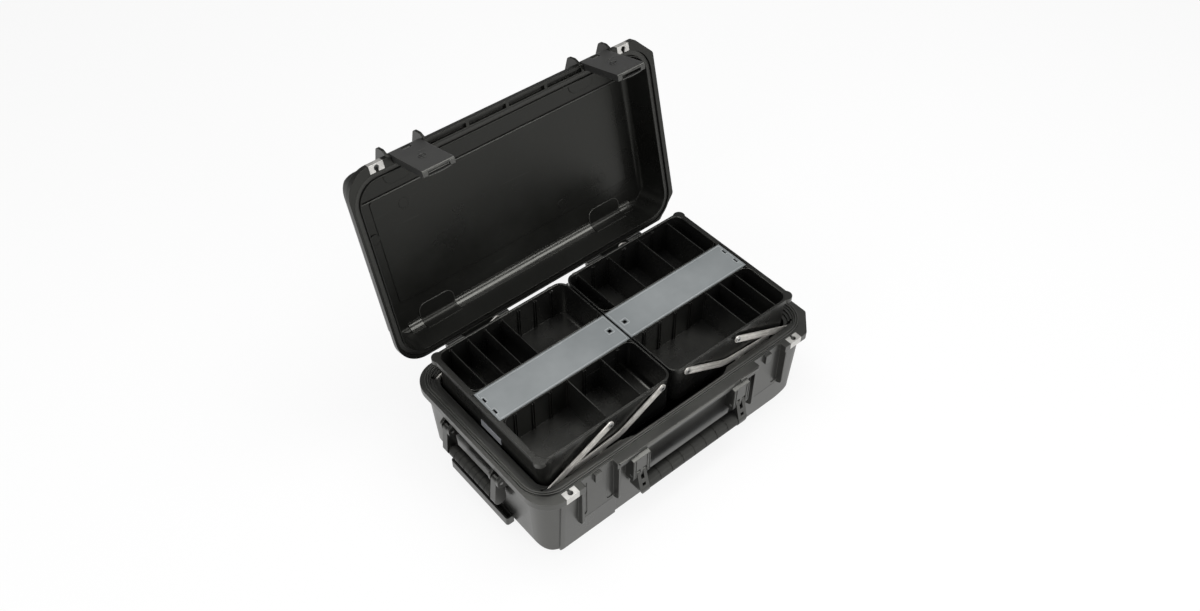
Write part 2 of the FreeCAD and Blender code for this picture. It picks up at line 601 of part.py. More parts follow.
def on_open_lid(shape):
    """Swing a piece drawn on the shut lid back about the hinge axis."""
    shape.Placement = FreeCAD.Placement(FreeCAD.Vector(), FreeCAD.Rotation(FreeCAD.Vector(1, 0, 0), -1))
    shape.setExpression("Placement.Rotation.Angle", bound("-open_angle"))
    shape.setExpression(
        "Placement.Base.y", bound("hinge_y - hinge_y * cos(open_angle) - seam * sin(open_angle)")
    )
    shape.setExpression(
        "Placement.Base.z", bound("seam + hinge_y * sin(open_angle) - seam * cos(open_angle)")
    )
    return shape


name_sizes()
SIDES = (("left", "-"), ("right", ""))

# Base shell

foot = "(body_x - seam * tan(body_draft))"
outer_wall = prism(
    "base_wall", "XY", oblong("body_x", "body_front", "body_rear", "body_corner"), "0", "seam", "body_draft"
)
side_view = [
    ("-" + foot, "0", "far_end_round"),
    (foot, "0", "wheel_end_round"),
    ("flange_x", "seam"),
    ("-flange_x", "seam"),
]
side_block = prism("base_side_view", "XZ", side_view, "-flange_front", "flange_front")
apron_wall = prism(
    "apron_wall",
    "XY",
    oblong("body_x", "body_front + apron_rise", "0", "apron_corner_share * body_corner"),
    "0",
    "seam",
    "body_draft",
)
aprons = [
    block(
        "apron_%s_span" % side,
        (
            "-apron_outer" if sign else "apron_inner",
            "-apron_inner" if sign else "apron_outer",
        ),
        ("-flange_front", "-mouth_y - wall"),
        ("0", "seam"),
    )
    for side, sign in SIDES
]
apron = shared("aprons", [apron_wall, joined("apron_spans", aprons)])
base_block = shared("base_block", [joined("base_walls", [outer_wall, apron]), side_block])
base_rim = flange("base_rim", "seam - base_flange", "seam")
inner_foot = "(body_x - wall - seam * tan(body_draft))"
inner_view = [
    ("-" + inner_foot, "floor_thickness", "far_end_round - wall"),
    (inner_foot, "floor_thickness", "wheel_end_round - wall"),
    ("body_x", "seam"),
    ("-body_x", "seam"),
]
cavity = shared("base_cavity", [
    prism(
        "base_cavity_wall",
        "XY",
        oblong("body_x - wall", "body_front - wall", "body_rear - wall", "body_corner - wall"),
        "0",
        "seam",
        "body_draft",
    ),
    prism("base_cavity_view", "XZ", inner_view, "-body_front", "body_front"),
    block(
        "base_cavity_height",
        ("-flange_x", "flange_x"),
        ("-flange_front", "flange_front"),
        ("0", "seam - neck"),
    ),
])
mouth = prism(
    "base_mouth",
    "XY",
    oblong("mouth_x", "mouth_y", "mouth_y", "mouth_corner"),
    "seam - neck - floor_thickness",
    "seam + ridge_rise",
)
ridge = ring("sealing_ridge", "ridge_half", "seam - ridge_rise", "seam + ridge_rise")
ridge_line = ring(
    "sealing_ridge_line",
    "ridge_line_half",
    "seam + ridge_rise - ridge_line_depth",
    "seam + ridge_rise + ridge_line_depth",
)

adds, takes = [], []
for side, sign in SIDES:
    middle = sign + "latch_x"
    guards = []
    for mark, offset in (("a", " - pocket_outer - guard_half"), ("b", " + pocket_outer + guard_half")):
        at = middle + offset
        low_end, top_end = "seam - pocket_drop - pocket_round", "seam - base_flange / 2"
        profile = [
            ("-body_front + wall", low_end),
            ("-guard_front", "seam - pocket_drop", "pocket_round"),
            ("-guard_front", top_end),
            ("-body_front + wall", top_end),
        ]
        guards.append(
            prism("%s_guard_%s" % (side, mark), "YZ", profile, at + " - guard_half", at + " + guard_half")
        )
    adds += guards
    adds.append(
        block(
            side + "_keeper",
            (middle + " - keeper_half", middle + " + keeper_half"),
            ("-keeper_front", "-body_front + wall"),
            ("seam - keeper_foot", "seam - keeper_top"),
        )
    )
    for mark, near, far in (
        ("a", " - pocket_outer", " - panel_half"), ("b", " + panel_half", " + pocket_outer")
    ):
        corners = [
            (middle + near, "seam - pocket_drop", "pocket_round"),
            (middle + far, "seam - pocket_drop", "pocket_round"),
            (middle + far, "seam - base_flange"),
            (middle + near, "seam - base_flange"),
        ]
        takes.append(
            prism("%s_pocket_%s" % (side, mark), "XZ", corners, "-flange_front - wall", "-pocket_back")
        )
    takes.append(
        block(
            side + "_base_bay",
            (middle + " - latch_bay_half", middle + " + latch_bay_half"),
            ("-flange_front - wall", "-latch_bay_front"),
            ("seam - pocket_drop - pocket_round", "seam + ridge_rise"),
        )
    )

bay_adds = [shape for shape in adds if "keeper" in shape.Name]
wall_adds = [shape for shape in adds if "keeper" not in shape.Name]

# Handle lugs on the base
front_lugs, side_lugs, prong_slots = [], [], []
for side, sign in SIDES:
    middle = sign + "front_arm_x"
    profile = [
        ("-body_front + wall", "seam - rib_drop"),
        ("-body_front - rib_reach", "seam - rib_drop", "rib_round"),
        ("-body_front - rib_reach", "seam - base_flange"),
        ("-body_front + wall", "seam - base_flange / 2"),
    ]
    front_lugs.append(
        prism(
            "front_bracket_" + side, "YZ", profile, middle + " - bracket_half", middle + " + bracket_half"
        )
    )
    for mark, away in (("a", "-"), ("b", "+")):
        at = "%s %s (rib_half + rib_gap + prong_width / 2)" % (middle, away)
        slot_x = (at + " - prong_width / 2 - rib_gap", at + " + prong_width / 2 + rib_gap")
        slot_y = ("-body_front - rib_reach - wall", "-front_pivot_y + front_eye + slot_top_gap")
        slot_z = ("seam - rib_drop - lug_radius - wall", "seam - front_pivot_drop + front_eye + slot_top_gap")
        prong_slots.append(block("prong_slot_%s_%s" % (side, mark), slot_x, slot_y, slot_z))
for side, sign in (("front", "-"), ("rear", "")):
    for mark, low, high in (
        (
            "inner",
            "side_arm_y - side_arm_half - lug_gap - lug_thickness",
            "side_arm_y - side_arm_half - lug_gap",
        ),
        (
            "outer",
            "side_arm_y + side_arm_half + lug_gap",
            "side_arm_y + side_arm_half + lug_gap + lug_thickness",
        ),
    ):
        ends = ("-(%s)" % high, "-(%s)" % low) if sign else (low, high)
        profile = [
            (
                "-side_pivot_x - lug_reach_share * lug_radius",
                "seam - side_pivot_drop - lug_reach_share * lug_radius",
                "lug_round_share * lug_radius",
            ),
            ("-body_x + wall", "seam - side_pivot_drop - lug_radius - lug_radius"),
            ("-body_x + wall", "seam - base_flange / 2"),
            (
                "-side_pivot_x - lug_reach_share * lug_radius",
                "seam - side_pivot_drop + lug_reach_share * lug_radius",
                "lug_round_share * lug_radius",
            ),
        ]
        side_lugs.append(prism("side_lug_%s_%s" % (side, mark), "XZ", profile, ends[0], ends[1]))
front_pivot = ("-front_pivot_y", "seam - front_pivot_drop")
side_pivot = ("-side_pivot_x", "seam - side_pivot_drop")
lug_bores = [
    round_bar("side_lug_bore", "y", "handle_pin", "-flange_front", "flange_front", side_pivot),
]
for side, sign in SIDES:
    ends = (sign + "front_arm_x - bracket_half", sign + "front_arm_x + bracket_half")
    lug_bores.append(round_bar("front_lug_bore_" + side, "x", "handle_pin", ends[0], ends[1], front_pivot))

# Wheel wells and channels for the pull handle
wells, well_blocks, channels, channel_blocks = [], [], [], []
for side, sign in (("front", "-"), ("rear", "")):
    near, far = "wheel_y - wheel_half - well_side_gap", "wheel_y + wheel_half + well_side_gap"
    y_well = ("-(%s)" % far, "-(%s)" % near) if sign else (near, far)
    y_block = (
        "-(%s + well_wall)" % far, "-(%s - well_wall)" % near
    ) if sign else (near + " - well_wall", far + " + well_wall")
    reach = "(wheel_radius + well_gap)"
    wells.append(
        block(
            "well_" + side, ("wheel_x - " + reach, "flange_x"), y_well, ("-well_gap", "wheel_z + " + reach)
        )
    )
    well_blocks.append(
        block(
            "well_block_" + side,
            ("wheel_x - %s - well_wall" % reach, "flange_x"),
            y_block,
            ("0", "wheel_z + %s + well_wall" % reach),
        )
    )
    half_y = "(rod_half_y + rod_play + sleeve_wall + channel_play)"
    half_z = "(rod_half_z + rod_play + sleeve_wall + channel_play)"
    channels.append(
        block(
            "channel_" + side,
            ("-flange_x", "sleeve_end + channel_play"),
            (sign + "rod_y - " + half_y, sign + "rod_y + " + half_y),
            ("-channel_wall", "rod_z + " + half_z),
        )
    )
    channel_blocks.append(
        block(
            "channel_block_" + side,
            ("-flange_x", "sleeve_end + channel_wall"),
            (sign + "rod_y - %s - channel_wall" % half_y, sign + "rod_y + %s + channel_wall" % half_y),
            ("0", "rod_z + %s + channel_wall" % half_z),
        )
    )

# Hinge knuckles of the base
hinge_axis = ("hinge_y", "seam")
base_knuckles, knuckle_bores = [], []
for side, sign in SIDES:
    for mark, low in (
        ("inner", "hinge_x - lid_knuckle_half - knuckle_gap - base_knuckle"),
        ("outer", "hinge_x + lid_knuckle_half + knuckle_gap"),
    ):
        high = low + " + base_knuckle"
        ends = ("-(%s)" % high, "-(%s)" % low) if sign else (low, high)
        name = "base_knuckle_%s_%s" % (side, mark)
        base_knuckles.append(round_bar(name, "x", "knuckle_radius", ends[0], ends[1], hinge_axis))
        base_knuckles.append(
            block(name + "_web", ends, ("body_rear - wall", "hinge_y"), ("seam - knuckle_radius", "seam"))
        )
knuckle_bores = [round_bar("base_knuckle_bore", "x", "hinge_pin", "-flange_x", "flange_x", hinge_axis)]

# Seats of the padlock plates
plate_seats = []
for side, sign in SIDES:
    x_seat = (sign + "plate_x - plate_half - plate_play", sign + "plate_x + plate_half + plate_play")
    plate_seats.append(
        block(
            side + "_base_plate_top",
            x_seat,
            ("-flange_front - wall", "-plate_back + plate_play"),
            ("seam - plate_steel - plate_play", "seam + wall"),
        )
    )
    plate_seats.append(
        block(
            side + "_base_plate_face",
            x_seat,
            ("-flange_front - wall", "-flange_front + plate_steel + plate_play"),
            ("seam - base_flange", "seam + wall"),
        )
    )
    plate_seats.append(
        round_bar(
            side + "_base_plate_bore",
            "z",
            "flange_hole",
            "seam - base_flange - wall",
            "seam + wall",
            (sign + "plate_x", "-plate_hole_y"),
        )
    )

solid = joined("base_solid", [base_block, base_rim] + wall_adds)
solid = cut("base_pocketed", solid, takes)
solid = joined(
    "base_with_lugs",
    [solid] + bay_adds + [
        cut("front_brackets", joined("front_bracket_pair", front_lugs), prong_slots)
    ] + side_lugs + base_knuckles,
)
solid = cut("base_hollow", solid, [cavity, mouth])
inside_adds = shared(
    "base_inside_adds", [joined("base_inside_blocks", well_blocks + channel_blocks), base_block]
)
solid = joined("base_with_wells", [solid, inside_adds, ridge])
node(
    "base_shell",
    cut("base_shell", solid, wells + channels + lug_bores + knuckle_bores + plate_seats + [ridge_line]),
)


def padlock_plates(name, edge, far):
    """C-shaped steel plates: one leaf on the seam face, one over the flange's edge."""
    pair = []
    for side, sign in SIDES:
        x_plate = (sign + "plate_x - plate_half", sign + "plate_x + plate_half")
        leaf = block("%s_%s_leaf" % (name, side), x_plate, ("-flange_front", "-plate_back"), edge)
        lip = block(
            "%s_%s_lip" % (name, side), x_plate, ("-flange_front", "-flange_front + plate_steel"), far
        )
        plate = joined("%s_%s_body" % (name, side), [leaf, lip])
        hole = round_bar(
            "%s_%s_hole" % (name, side),
            "z",
            "plate_hole",
            "seam - base_flange - wall",
            "seam + lid_flange + wall",
            (sign + "plate_x", "-plate_hole_y"),
        )
        throat = block(
            "%s_%s_throat" % (name, side),
            (sign + "plate_x - throat_share * plate_hole", sign + "plate_x + throat_share * plate_hole"),
            ("-plate_hole_y", "-plate_back + wall"),
            edge,
        )
        pair.append(cut("%s_%s" % (name, side), plate, [hole, throat]))
    return grouped(name, pair)


node(
    "base_padlock_plates",
    padlock_plates(
        "base_padlock_plates", ("seam - plate_steel", "seam"), ("seam - base_flange + plate_play", "seam")
    ),
)

# Tray frames with their pivot posts and lower rivets


def tray_frame():
    steps = []
    for index in range(3):
        drop = "frame_drop + %d * frame_step_drop" % index
        inset = "(%d * frame_step + frame_fit)" % index
        steps.append((drop, inset))
    outer = prism("frame_outer", "XY", [
        ("-mouth_x + frame_fit", "-mouth_y + frame_fit", "mouth_corner - frame_fit"),
        ("-frame_heel", "-mouth_y + frame_fit"),
        ("-frame_heel", "mouth_y - frame_fit"),
        ("-mouth_x + frame_fit", "mouth_y - frame_fit", "mouth_corner - frame_fit"),
    ], "seam - frame_drop - frame_depth", "seam - frame_drop")
    inner = prism("frame_inner", "XY", [
        ("-frame_x", "-frame_y", "frame_corner"),
        ("-frame_toe", "-frame_y"),
        ("-frame_heel + frame_fit", "-mouth_y"),
        ("-frame_heel + frame_fit", "mouth_y"),
        ("-frame_toe", "frame_y"),
        ("-frame_x", "frame_y", "frame_corner"),
    ], "seam - frame_drop - frame_depth - wall", "seam + wall")
    ledges = []
    for index in (1, 2):
        inset = "%d * frame_step" % index
        drop = "seam - frame_drop - %d * frame_step_drop" % index
        ledges.append(prism("frame_ledge_%d" % index, "XY", [
            ("-mouth_x + " + inset, "-mouth_y + frame_side_share * " + inset, "mouth_corner - " + inset),
            ("-frame_heel + frame_fit", "-mouth_y + frame_side_share * " + inset),
            ("-frame_heel + frame_fit", "mouth_y - frame_side_share * " + inset),
            ("-mouth_x + " + inset, "mouth_y - frame_side_share * " + inset, "mouth_corner - " + inset),
        ], drop, "seam + wall"))
    posts = []
    for side, sign in (("front", "-"), ("rear", "")):
        for mark, x in (("straight", "-arm_low_x"), ("curved", "-arm_low_x + arm_spread")):
            near, far = ("-mouth_y + frame_fit", "-frame_y") if sign else ("frame_y", "mouth_y - frame_fit")
            posts.append(
                block(
                    "post_%s_%s" % (side, mark),
                    (x + " - post_half", x + " + post_half"),
                    (near, far),
                    ("seam - post_drop", "seam - frame_drop - 3 * frame_step_drop"),
                )
            )
    lanes = []
    for side, sign in (("front", "-"), ("rear", "")):
        near = "straight_y - arm_play - rivet_head_thickness - lane_gap"
        far = "straight_y + arm_steel + lane_gap"
        ends = ("-(%s)" % far, "-(%s)" % near) if sign else (near, far)
        height = ("seam - arm_low_drop - arm_half - lane_gap", "seam + wall")
        lanes.append(block("arm_lane_" + side, ("-lane_end", "-lane_start"), ends, height))
    frame = cut("frame_stepped", outer, [inner] + ledges)
    corner_limit = prism("frame_limit", "XY", [
        ("-mouth_x + frame_fit", "-mouth_y + frame_fit", "mouth_corner - frame_fit"),
        ("mouth_x", "-mouth_y + frame_fit", "mouth_corner - frame_fit"),
        ("mouth_x", "mouth_y - frame_fit", "mouth_corner - frame_fit"),
        ("-mouth_x + frame_fit", "mouth_y - frame_fit", "mouth_corner - frame_fit"),
    ], "0", "seam")
    body = shared("frame_with_posts", [joined("frame_body", [frame] + posts), corner_limit])
    bores = []
    for mark, x in (("straight", "-arm_low_x"), ("curved", "-arm_low_x + arm_spread")):
        bores.append(
            round_bar("frame_bore_" + mark, "y", "rivet", "-mouth_y", "mouth_y", (x, "seam - arm_low_drop"))
        )
    return cut("tray_frame_left", body, bores + lanes)


left_frame = node("tray_frame_left", tray_frame())
node("tray_frame_right", mirrored("tray_frame_right", left_frame))


def rivet(name, x, z, start, inner, outer, sign):
    """A rivet through an arm: shank from start, head on the arm's far face."""
    shank_ends, head_ends = (start, outer), (inner, outer)
    if sign:
        shank_ends = ("-(%s)" % outer, "-(%s)" % start)
        head_ends = ("-(%s)" % outer, "-(%s)" % inner)
    shank = round_bar(name + "_shank", "y", "rivet", shank_ends[0], shank_ends[1], (x, z))
    head = round_bar(name + "_head", "y", "rivet_head", head_ends[0], head_ends[1], (x, z))
    return joined(name, [shank, head])


lower = "seam - arm_low_drop"
low_straight, low_curved = "-arm_low_x", "-arm_low_x + arm_spread"
rise_x, rise_z = "arm_run", "arm_rise"
high_straight, high_curved = "%s + %s" % (low_straight, rise_x), "%s + %s" % (low_curved, rise_x)
upper = "%s + %s" % (lower, rise_z)


def lower_rivets():
    """Rivets held in the frame's posts: shank out of the post, head inside the arm."""
    rivets = []
    for side, sign in (("front", "-"), ("rear", "")):
        for mark, x, plane in (("straight", low_straight, "straight_y"), ("curved", low_curved, "curved_y")):
            tip, wall_end = plane + " - arm_play - rivet_head_thickness", "rivet_seat"
            ends = ("-(%s)" % wall_end, "-(%s)" % tip) if sign else (tip, wall_end)
            head = ("-(%s - arm_play)" % plane, "-(%s)" % tip) if sign else (tip, plane + " - arm_play")
            name = "lower_rivet_%s_%s" % (side, mark)
            shank = round_bar(name + "_shank", "y", "rivet", ends[0], ends[1], (x, lower))
            cap = round_bar(name + "_head", "y", "rivet_head", head[0], head[1], (x, lower))
            rivets.append(joined(name, [shank, cap]))
    return grouped("lower_rivets_left", rivets)


left_lower = node("lower_rivets_left", lower_rivets())
node("lower_rivets_right", mirrored("lower_rivets_right", left_lower))

# Steel pins, axles and sleeves of the base
pin_parts = []
for side, sign in SIDES:
    ends = (sign + "front_arm_x - bracket_half", sign + "front_arm_x + bracket_half")
    pin_parts.append(round_bar("front_handle_pin_" + side, "x", "handle_pin", ends[0], ends[1], front_pivot))
node("front_handle_pins", grouped("front_handle_pins", pin_parts))
pin_parts = []
for side, sign in (("front", "-"), ("rear", "")):
    low = "side_arm_y - side_arm_half - lug_gap - lug_thickness"
    high = "side_arm_y + side_arm_half + lug_gap + lug_thickness"
    ends = ("-(%s)" % high, "-(%s)" % low) if sign else (low, high)
    pin_parts.append(round_bar("side_handle_pin_" + side, "y", "handle_pin", ends[0], ends[1], side_pivot))
node("side_handle_pins", grouped("side_handle_pins", pin_parts))
pin_parts = []
hinge_half = "(lid_knuckle_half + knuckle_gap + base_knuckle)"
for side, sign in SIDES:
    pin_parts.append(
        round_bar(
            "hinge_pin_" + side,
            "x",
            "hinge_pin",
            sign + "hinge_x - " + hinge_half,
            sign + "hinge_x + " + hinge_half,
            hinge_axis,
        )
    )
node("hinge_pins", grouped("hinge_pins", pin_parts))
pin_parts = []
for side, sign in (("front", "-"), ("rear", "")):
    half = "(wheel_half + well_side_gap)"
    pin_parts.append(
        round_bar(
            "wheel_axle_" + side,
            "y",
            "axle",
            sign + "wheel_y - " + half,
            sign + "wheel_y + " + half,
            ("wheel_x", "wheel_z"),
        )
    )
node("wheel_axles", grouped("wheel_axles", pin_parts))
sleeves = []
for side, sign in (("front", "-"), ("rear", "")):
    hole_y, hole_z = "(rod_half_y + rod_play)", "(rod_half_z + rod_play)"
    tube = block(
        "sleeve_tube_" + side,
        ("-sleeve_start", "sleeve_end"),
        (sign + "rod_y - %s - sleeve_wall" % hole_y, sign + "rod_y + %s + sleeve_wall" % hole_y),
        ("rod_z - %s - sleeve_wall" % hole_z, "rod_z + %s + sleeve_wall" % hole_z),
    )
    hole = block(
        "sleeve_hole_" + side,
        ("-flange_x", "flange_x"),
        (sign + "rod_y - " + hole_y, sign + "rod_y + " + hole_y),
        ("rod_z - " + hole_z, "rod_z + " + hole_z),
    )
    sleeves.append(cut("sleeve_" + side, tube, [hole]))
node("pull_handle_sleeves", grouped("pull_handle_sleeves", sleeves))

# Lid, drawn shut

lid_top = "seam + lid_height"


def tapered_up(name, corners, low, high, draft):
    """An outline at low that narrows on its way up."""
    shape = doc.addObject("Part::Extrusion", name)
    shape.Base = outline(name + "_outline", "XY", low, corners)
    shape.DirMode = "Custom"
    shape.Dir = FreeCAD.Vector(0, 0, 1)
    shape.Solid = True
    shape.setExpression("LengthFwd", bound("(%s) - (%s)" % (high, low)))
    shape.setExpression("TaperAngle", bound("-(%s)" % draft))
    return shape


def dome(name, x, front, rear, corner, inset, top, rounding):
    """A drafted box whose upper edges are rounded, set in by inset all round."""
    body = tapered_up(
        name + "_body",
        oblong(
            "%s - %s" % (x, inset),
            "%s - %s" % (front, inset),
            "%s - %s" % (rear, inset),
            "%s - %s" % (corner, inset),
        ),
        "seam",
        top,
        "lid_draft",
    )
    lean = "(%s - seam) * tan(lid_draft)" % top
    across = [
        ("-(%s - %s)" % (x, inset), "seam"),
        ("%s - %s" % (x, inset), "seam"),
        ("%s - %s - %s" % (x, inset, lean), top, rounding),
        ("-(%s - %s - %s)" % (x, inset, lean), top, rounding),
    ]
    along = [
        ("-(%s - %s)" % (front, inset), "seam"),
        ("%s - %s" % (rear, inset), "seam"),
        ("%s - %s - %s" % (rear, inset, lean), top, rounding),
        ("-(%s - %s - %s)" % (front, inset, lean), top, rounding),
    ]
    return shared(
        name,
        [
            body,
            prism(name + "_across", "XZ", across, "-flange_front", "flange_front"),
            prism(name + "_along", "YZ", along, "-flange_x", "flange_x"),
        ],
    )


lid_outer = dome(
    "lid_outer", "lid_wall_x", "lid_wall_y", "lid_wall_y", "lid_corner", "0", lid_top, "lid_round"
)
lid_inner = dome(
    "lid_inner", "mouth_x", "mouth_y", "mouth_y", "mouth_corner", "0", "seam + lid_inside", "lid_fillet"
)
lid_inner_small = dome(
    "lid_inner_small",
    "mouth_x",
    "mouth_y",
    "mouth_y",
    "mouth_corner",
    "arch_rise",
    "seam + lid_inside - arch_rise",
    "lid_fillet",
)
arches = []
for side, sign in SIDES:
    middle = sign + "latch_x"
    for mark, half, near, far in (
        ("front", "arch_front_half", "-mouth_y - wall", "-arch_front_reach"),
        ("rear", "arch_rear_half", "arch_rear_reach", "mouth_y + wall"),
    ):
        corners = [
            (middle + " - " + half, near),
            (middle + " + " + half, near),
            (middle + " + " + half, far),
            (middle + " - " + half, far),
        ]
        tips = (2, 3) if mark == "front" else (0, 1)
        corners = [c + ("arch_corner",) if i in tips else c for i, c in enumerate(corners)]
        arches.append(
            prism("arch_%s_%s" % (side, mark), "XY", corners, "seam + arch_low", "seam + lid_inside + wall")
        )
arch_skin = cut("arch_skin", joined("arch_plan", arches), [lid_inner_small])
ceiling_panel = prism(
    "ceiling_panel",
    "XY",
    oblong("panel_x", "panel_y", "panel_y", "pocket_round"),
    "seam + lid_inside - panel_rise",
    "seam + lid_inside + wall",
)
lid_space = cut("lid_space", lid_inner, [arch_skin, ceiling_panel])
lid_rim = flange("lid_rim", "seam + seam_gap", "seam + lid_flange")
lid_floor_cut = block(
    "lid_seam_cut",
    ("-flange_x", "flange_x"),
    ("-flange_front", "flange_front"),
    ("seam - wall", "seam + seam_gap"),
)
fins, bays, lugs = [], [], []
pin_z = "seam + latch_pin_rise"
for side, sign in SIDES:
    middle = sign + "latch_x"
    for mark, offset in (("a", " - fin_offset"), ("b", " + fin_offset")):
        at = middle + offset
        profile = [
            ("-mouth_y", "seam + fin_low"),
            ("-flange_front", "seam + fin_low"),
            ("-fin_front", "seam + fin_nose", "fin_round"),
            ("-fin_front", "seam + fin_brow", "fin_round"),
            ("-mouth_y", "seam + fin_high"),
        ]
        fins.append(prism("%s_fin_%s" % (side, mark), "YZ", profile, at + " - fin_half", at + " + fin_half"))
    bays.append(
        block(
            side + "_lid_bay",
            (middle + " - latch_bay_half + fin_half", middle + " + latch_bay_half - fin_half"),
            ("-fin_front - wall", "-latch_bay_front"),
            ("seam - wall", "seam + fin_high"),
        )
    )
    lug_profile = [
        ("-mouth_y", "seam + seam_gap"),
        (
            "-latch_pin_y - lug_reach_share * latch_barrel",
            "seam + latch_pin_rise - lug_reach_share * latch_barrel",
            "lug_round_share * latch_barrel",
        ),
        (
            "-latch_pin_y - lug_reach_share * latch_barrel",
            "seam + latch_pin_rise + lug_reach_share * latch_barrel",
            "lug_round_share * latch_barrel",
        ),
        ("-mouth_y", "seam + latch_pin_rise + latch_barrel + latch_barrel + latch_barrel"),
    ]
    lugs.append(
        prism(
            side + "_latch_lug",
            "YZ",
            lug_profile,
            middle + " - latch_lug_half",
            middle + " + latch_lug_half",
        )
    )
slots = []
slot_shares = (-1.5, -0.5, 0.5, 1.5)
for index, share in enumerate(slot_shares):
    centre = "%s * slot_pitch" % share
    slots.append(
        block(
            "flange_slot_%d" % index,
            (centre + " - slot_length / 2", centre + " + slot_length / 2"),
            ("-slot_front", "-slot_back"),
            ("seam - wall", "seam + slot_depth"),
        )
    )
lid_knuckles = []
for side, sign in SIDES:
    ends = (sign + "hinge_x - lid_knuckle_half", sign + "hinge_x + lid_knuckle_half")
    lid_knuckles.append(round_bar("lid_knuckle_" + side, "x", "knuckle_radius", ends[0], ends[1], hinge_axis))
    lid_knuckles.append(
        block(
            "lid_knuckle_%s_web" % side,
            ends,
            ("body_rear - wall", "hinge_y"),
            ("seam + seam_gap", "seam + knuckle_radius"),
        )
    )
lid_seats = []
for side, sign in SIDES:
    x_seat = (sign + "plate_x - plate_half - plate_play", sign + "plate_x + plate_half + plate_play")
    lid_seats.append(
        block(
            side + "_lid_plate_leaf_seat",
            x_seat,
            ("-flange_front - wall", "-plate_back + plate_play"),
            ("seam - wall", "seam + seam_gap + plate_steel + plate_play"),
        )
    )
    lid_seats.append(
        block(
            side + "_lid_plate_face_seat",
            x_seat,
            ("-flange_front - wall", "-flange_front + plate_steel + plate_play"),
            ("seam - wall", "seam + lid_flange"),
        )
    )
    lid_seats.append(
        round_bar(
            side + "_lid_plate_bore",
            "z",
            "flange_hole",
            "seam - wall",
            "seam + lid_height",
            (sign + "plate_x", "-plate_hole_y"),
        )
    )
groove = ring("seal_groove", "groove_half", "seam - wall", "seam + groove_depth")
groove_back = ring(
    "groove_back", "groove_half + groove_wall", "seam + seam_gap", "seam + groove_depth + lid_skin"
)
lid_pin_bores = []
for side, sign in SIDES:
    ends = (sign + "latch_x - latch_half", sign + "latch_x + latch_half")
    lid_pin_bores.append(
        round_bar("lid_latch_bore_" + side, "x", "latch_pin", ends[0], ends[1], ("-latch_pin_y", pin_z))
    )
lid_hinge_bore = round_bar("lid_hinge_bore", "x", "hinge_pin + pin_play", "-flange_x", "flange_x", hinge_axis)
solid = joined("lid_solid", [lid_outer, lid_rim, groove_back] + fins)
solid = cut("lid_bayed", solid, bays + slots)
solid = joined("lid_with_lugs", [solid] + lugs + lid_knuckles)
lid_shell = node(
    "lid_shell",
    cut("lid_shell", solid, [lid_space, groove, lid_hinge_bore, lid_floor_cut] + lid_pin_bores + lid_seats),
)
on_open_lid(lid_shell)
seal = node(
    "lid_seal", ring("lid_seal", "seal_half", "seam + groove_depth - seal_height", "seam + groove_depth")
)
on_open_lid(seal)
lid_plates = node(
    "lid_padlock_plates",
    padlock_plates(
        "lid_padlock_plates",
        ("seam + seam_gap", "seam + seam_gap + plate_steel"),
        ("seam + seam_gap", "seam + lid_flange - plate_play"),
    ),
)
on_open_lid(lid_plates)
pin_parts = [
    round_bar(
        "latch_pin_" + side,
        "x",
        "latch_pin",
        sign + "latch_x - latch_half",
        sign + "latch_x + latch_half",
        ("-latch_pin_y", pin_z),
    )
    for side, sign in SIDES
]
on_open_lid(node("latch_pins", grouped("latch_pins", pin_parts)))

# Latches, drawn shut

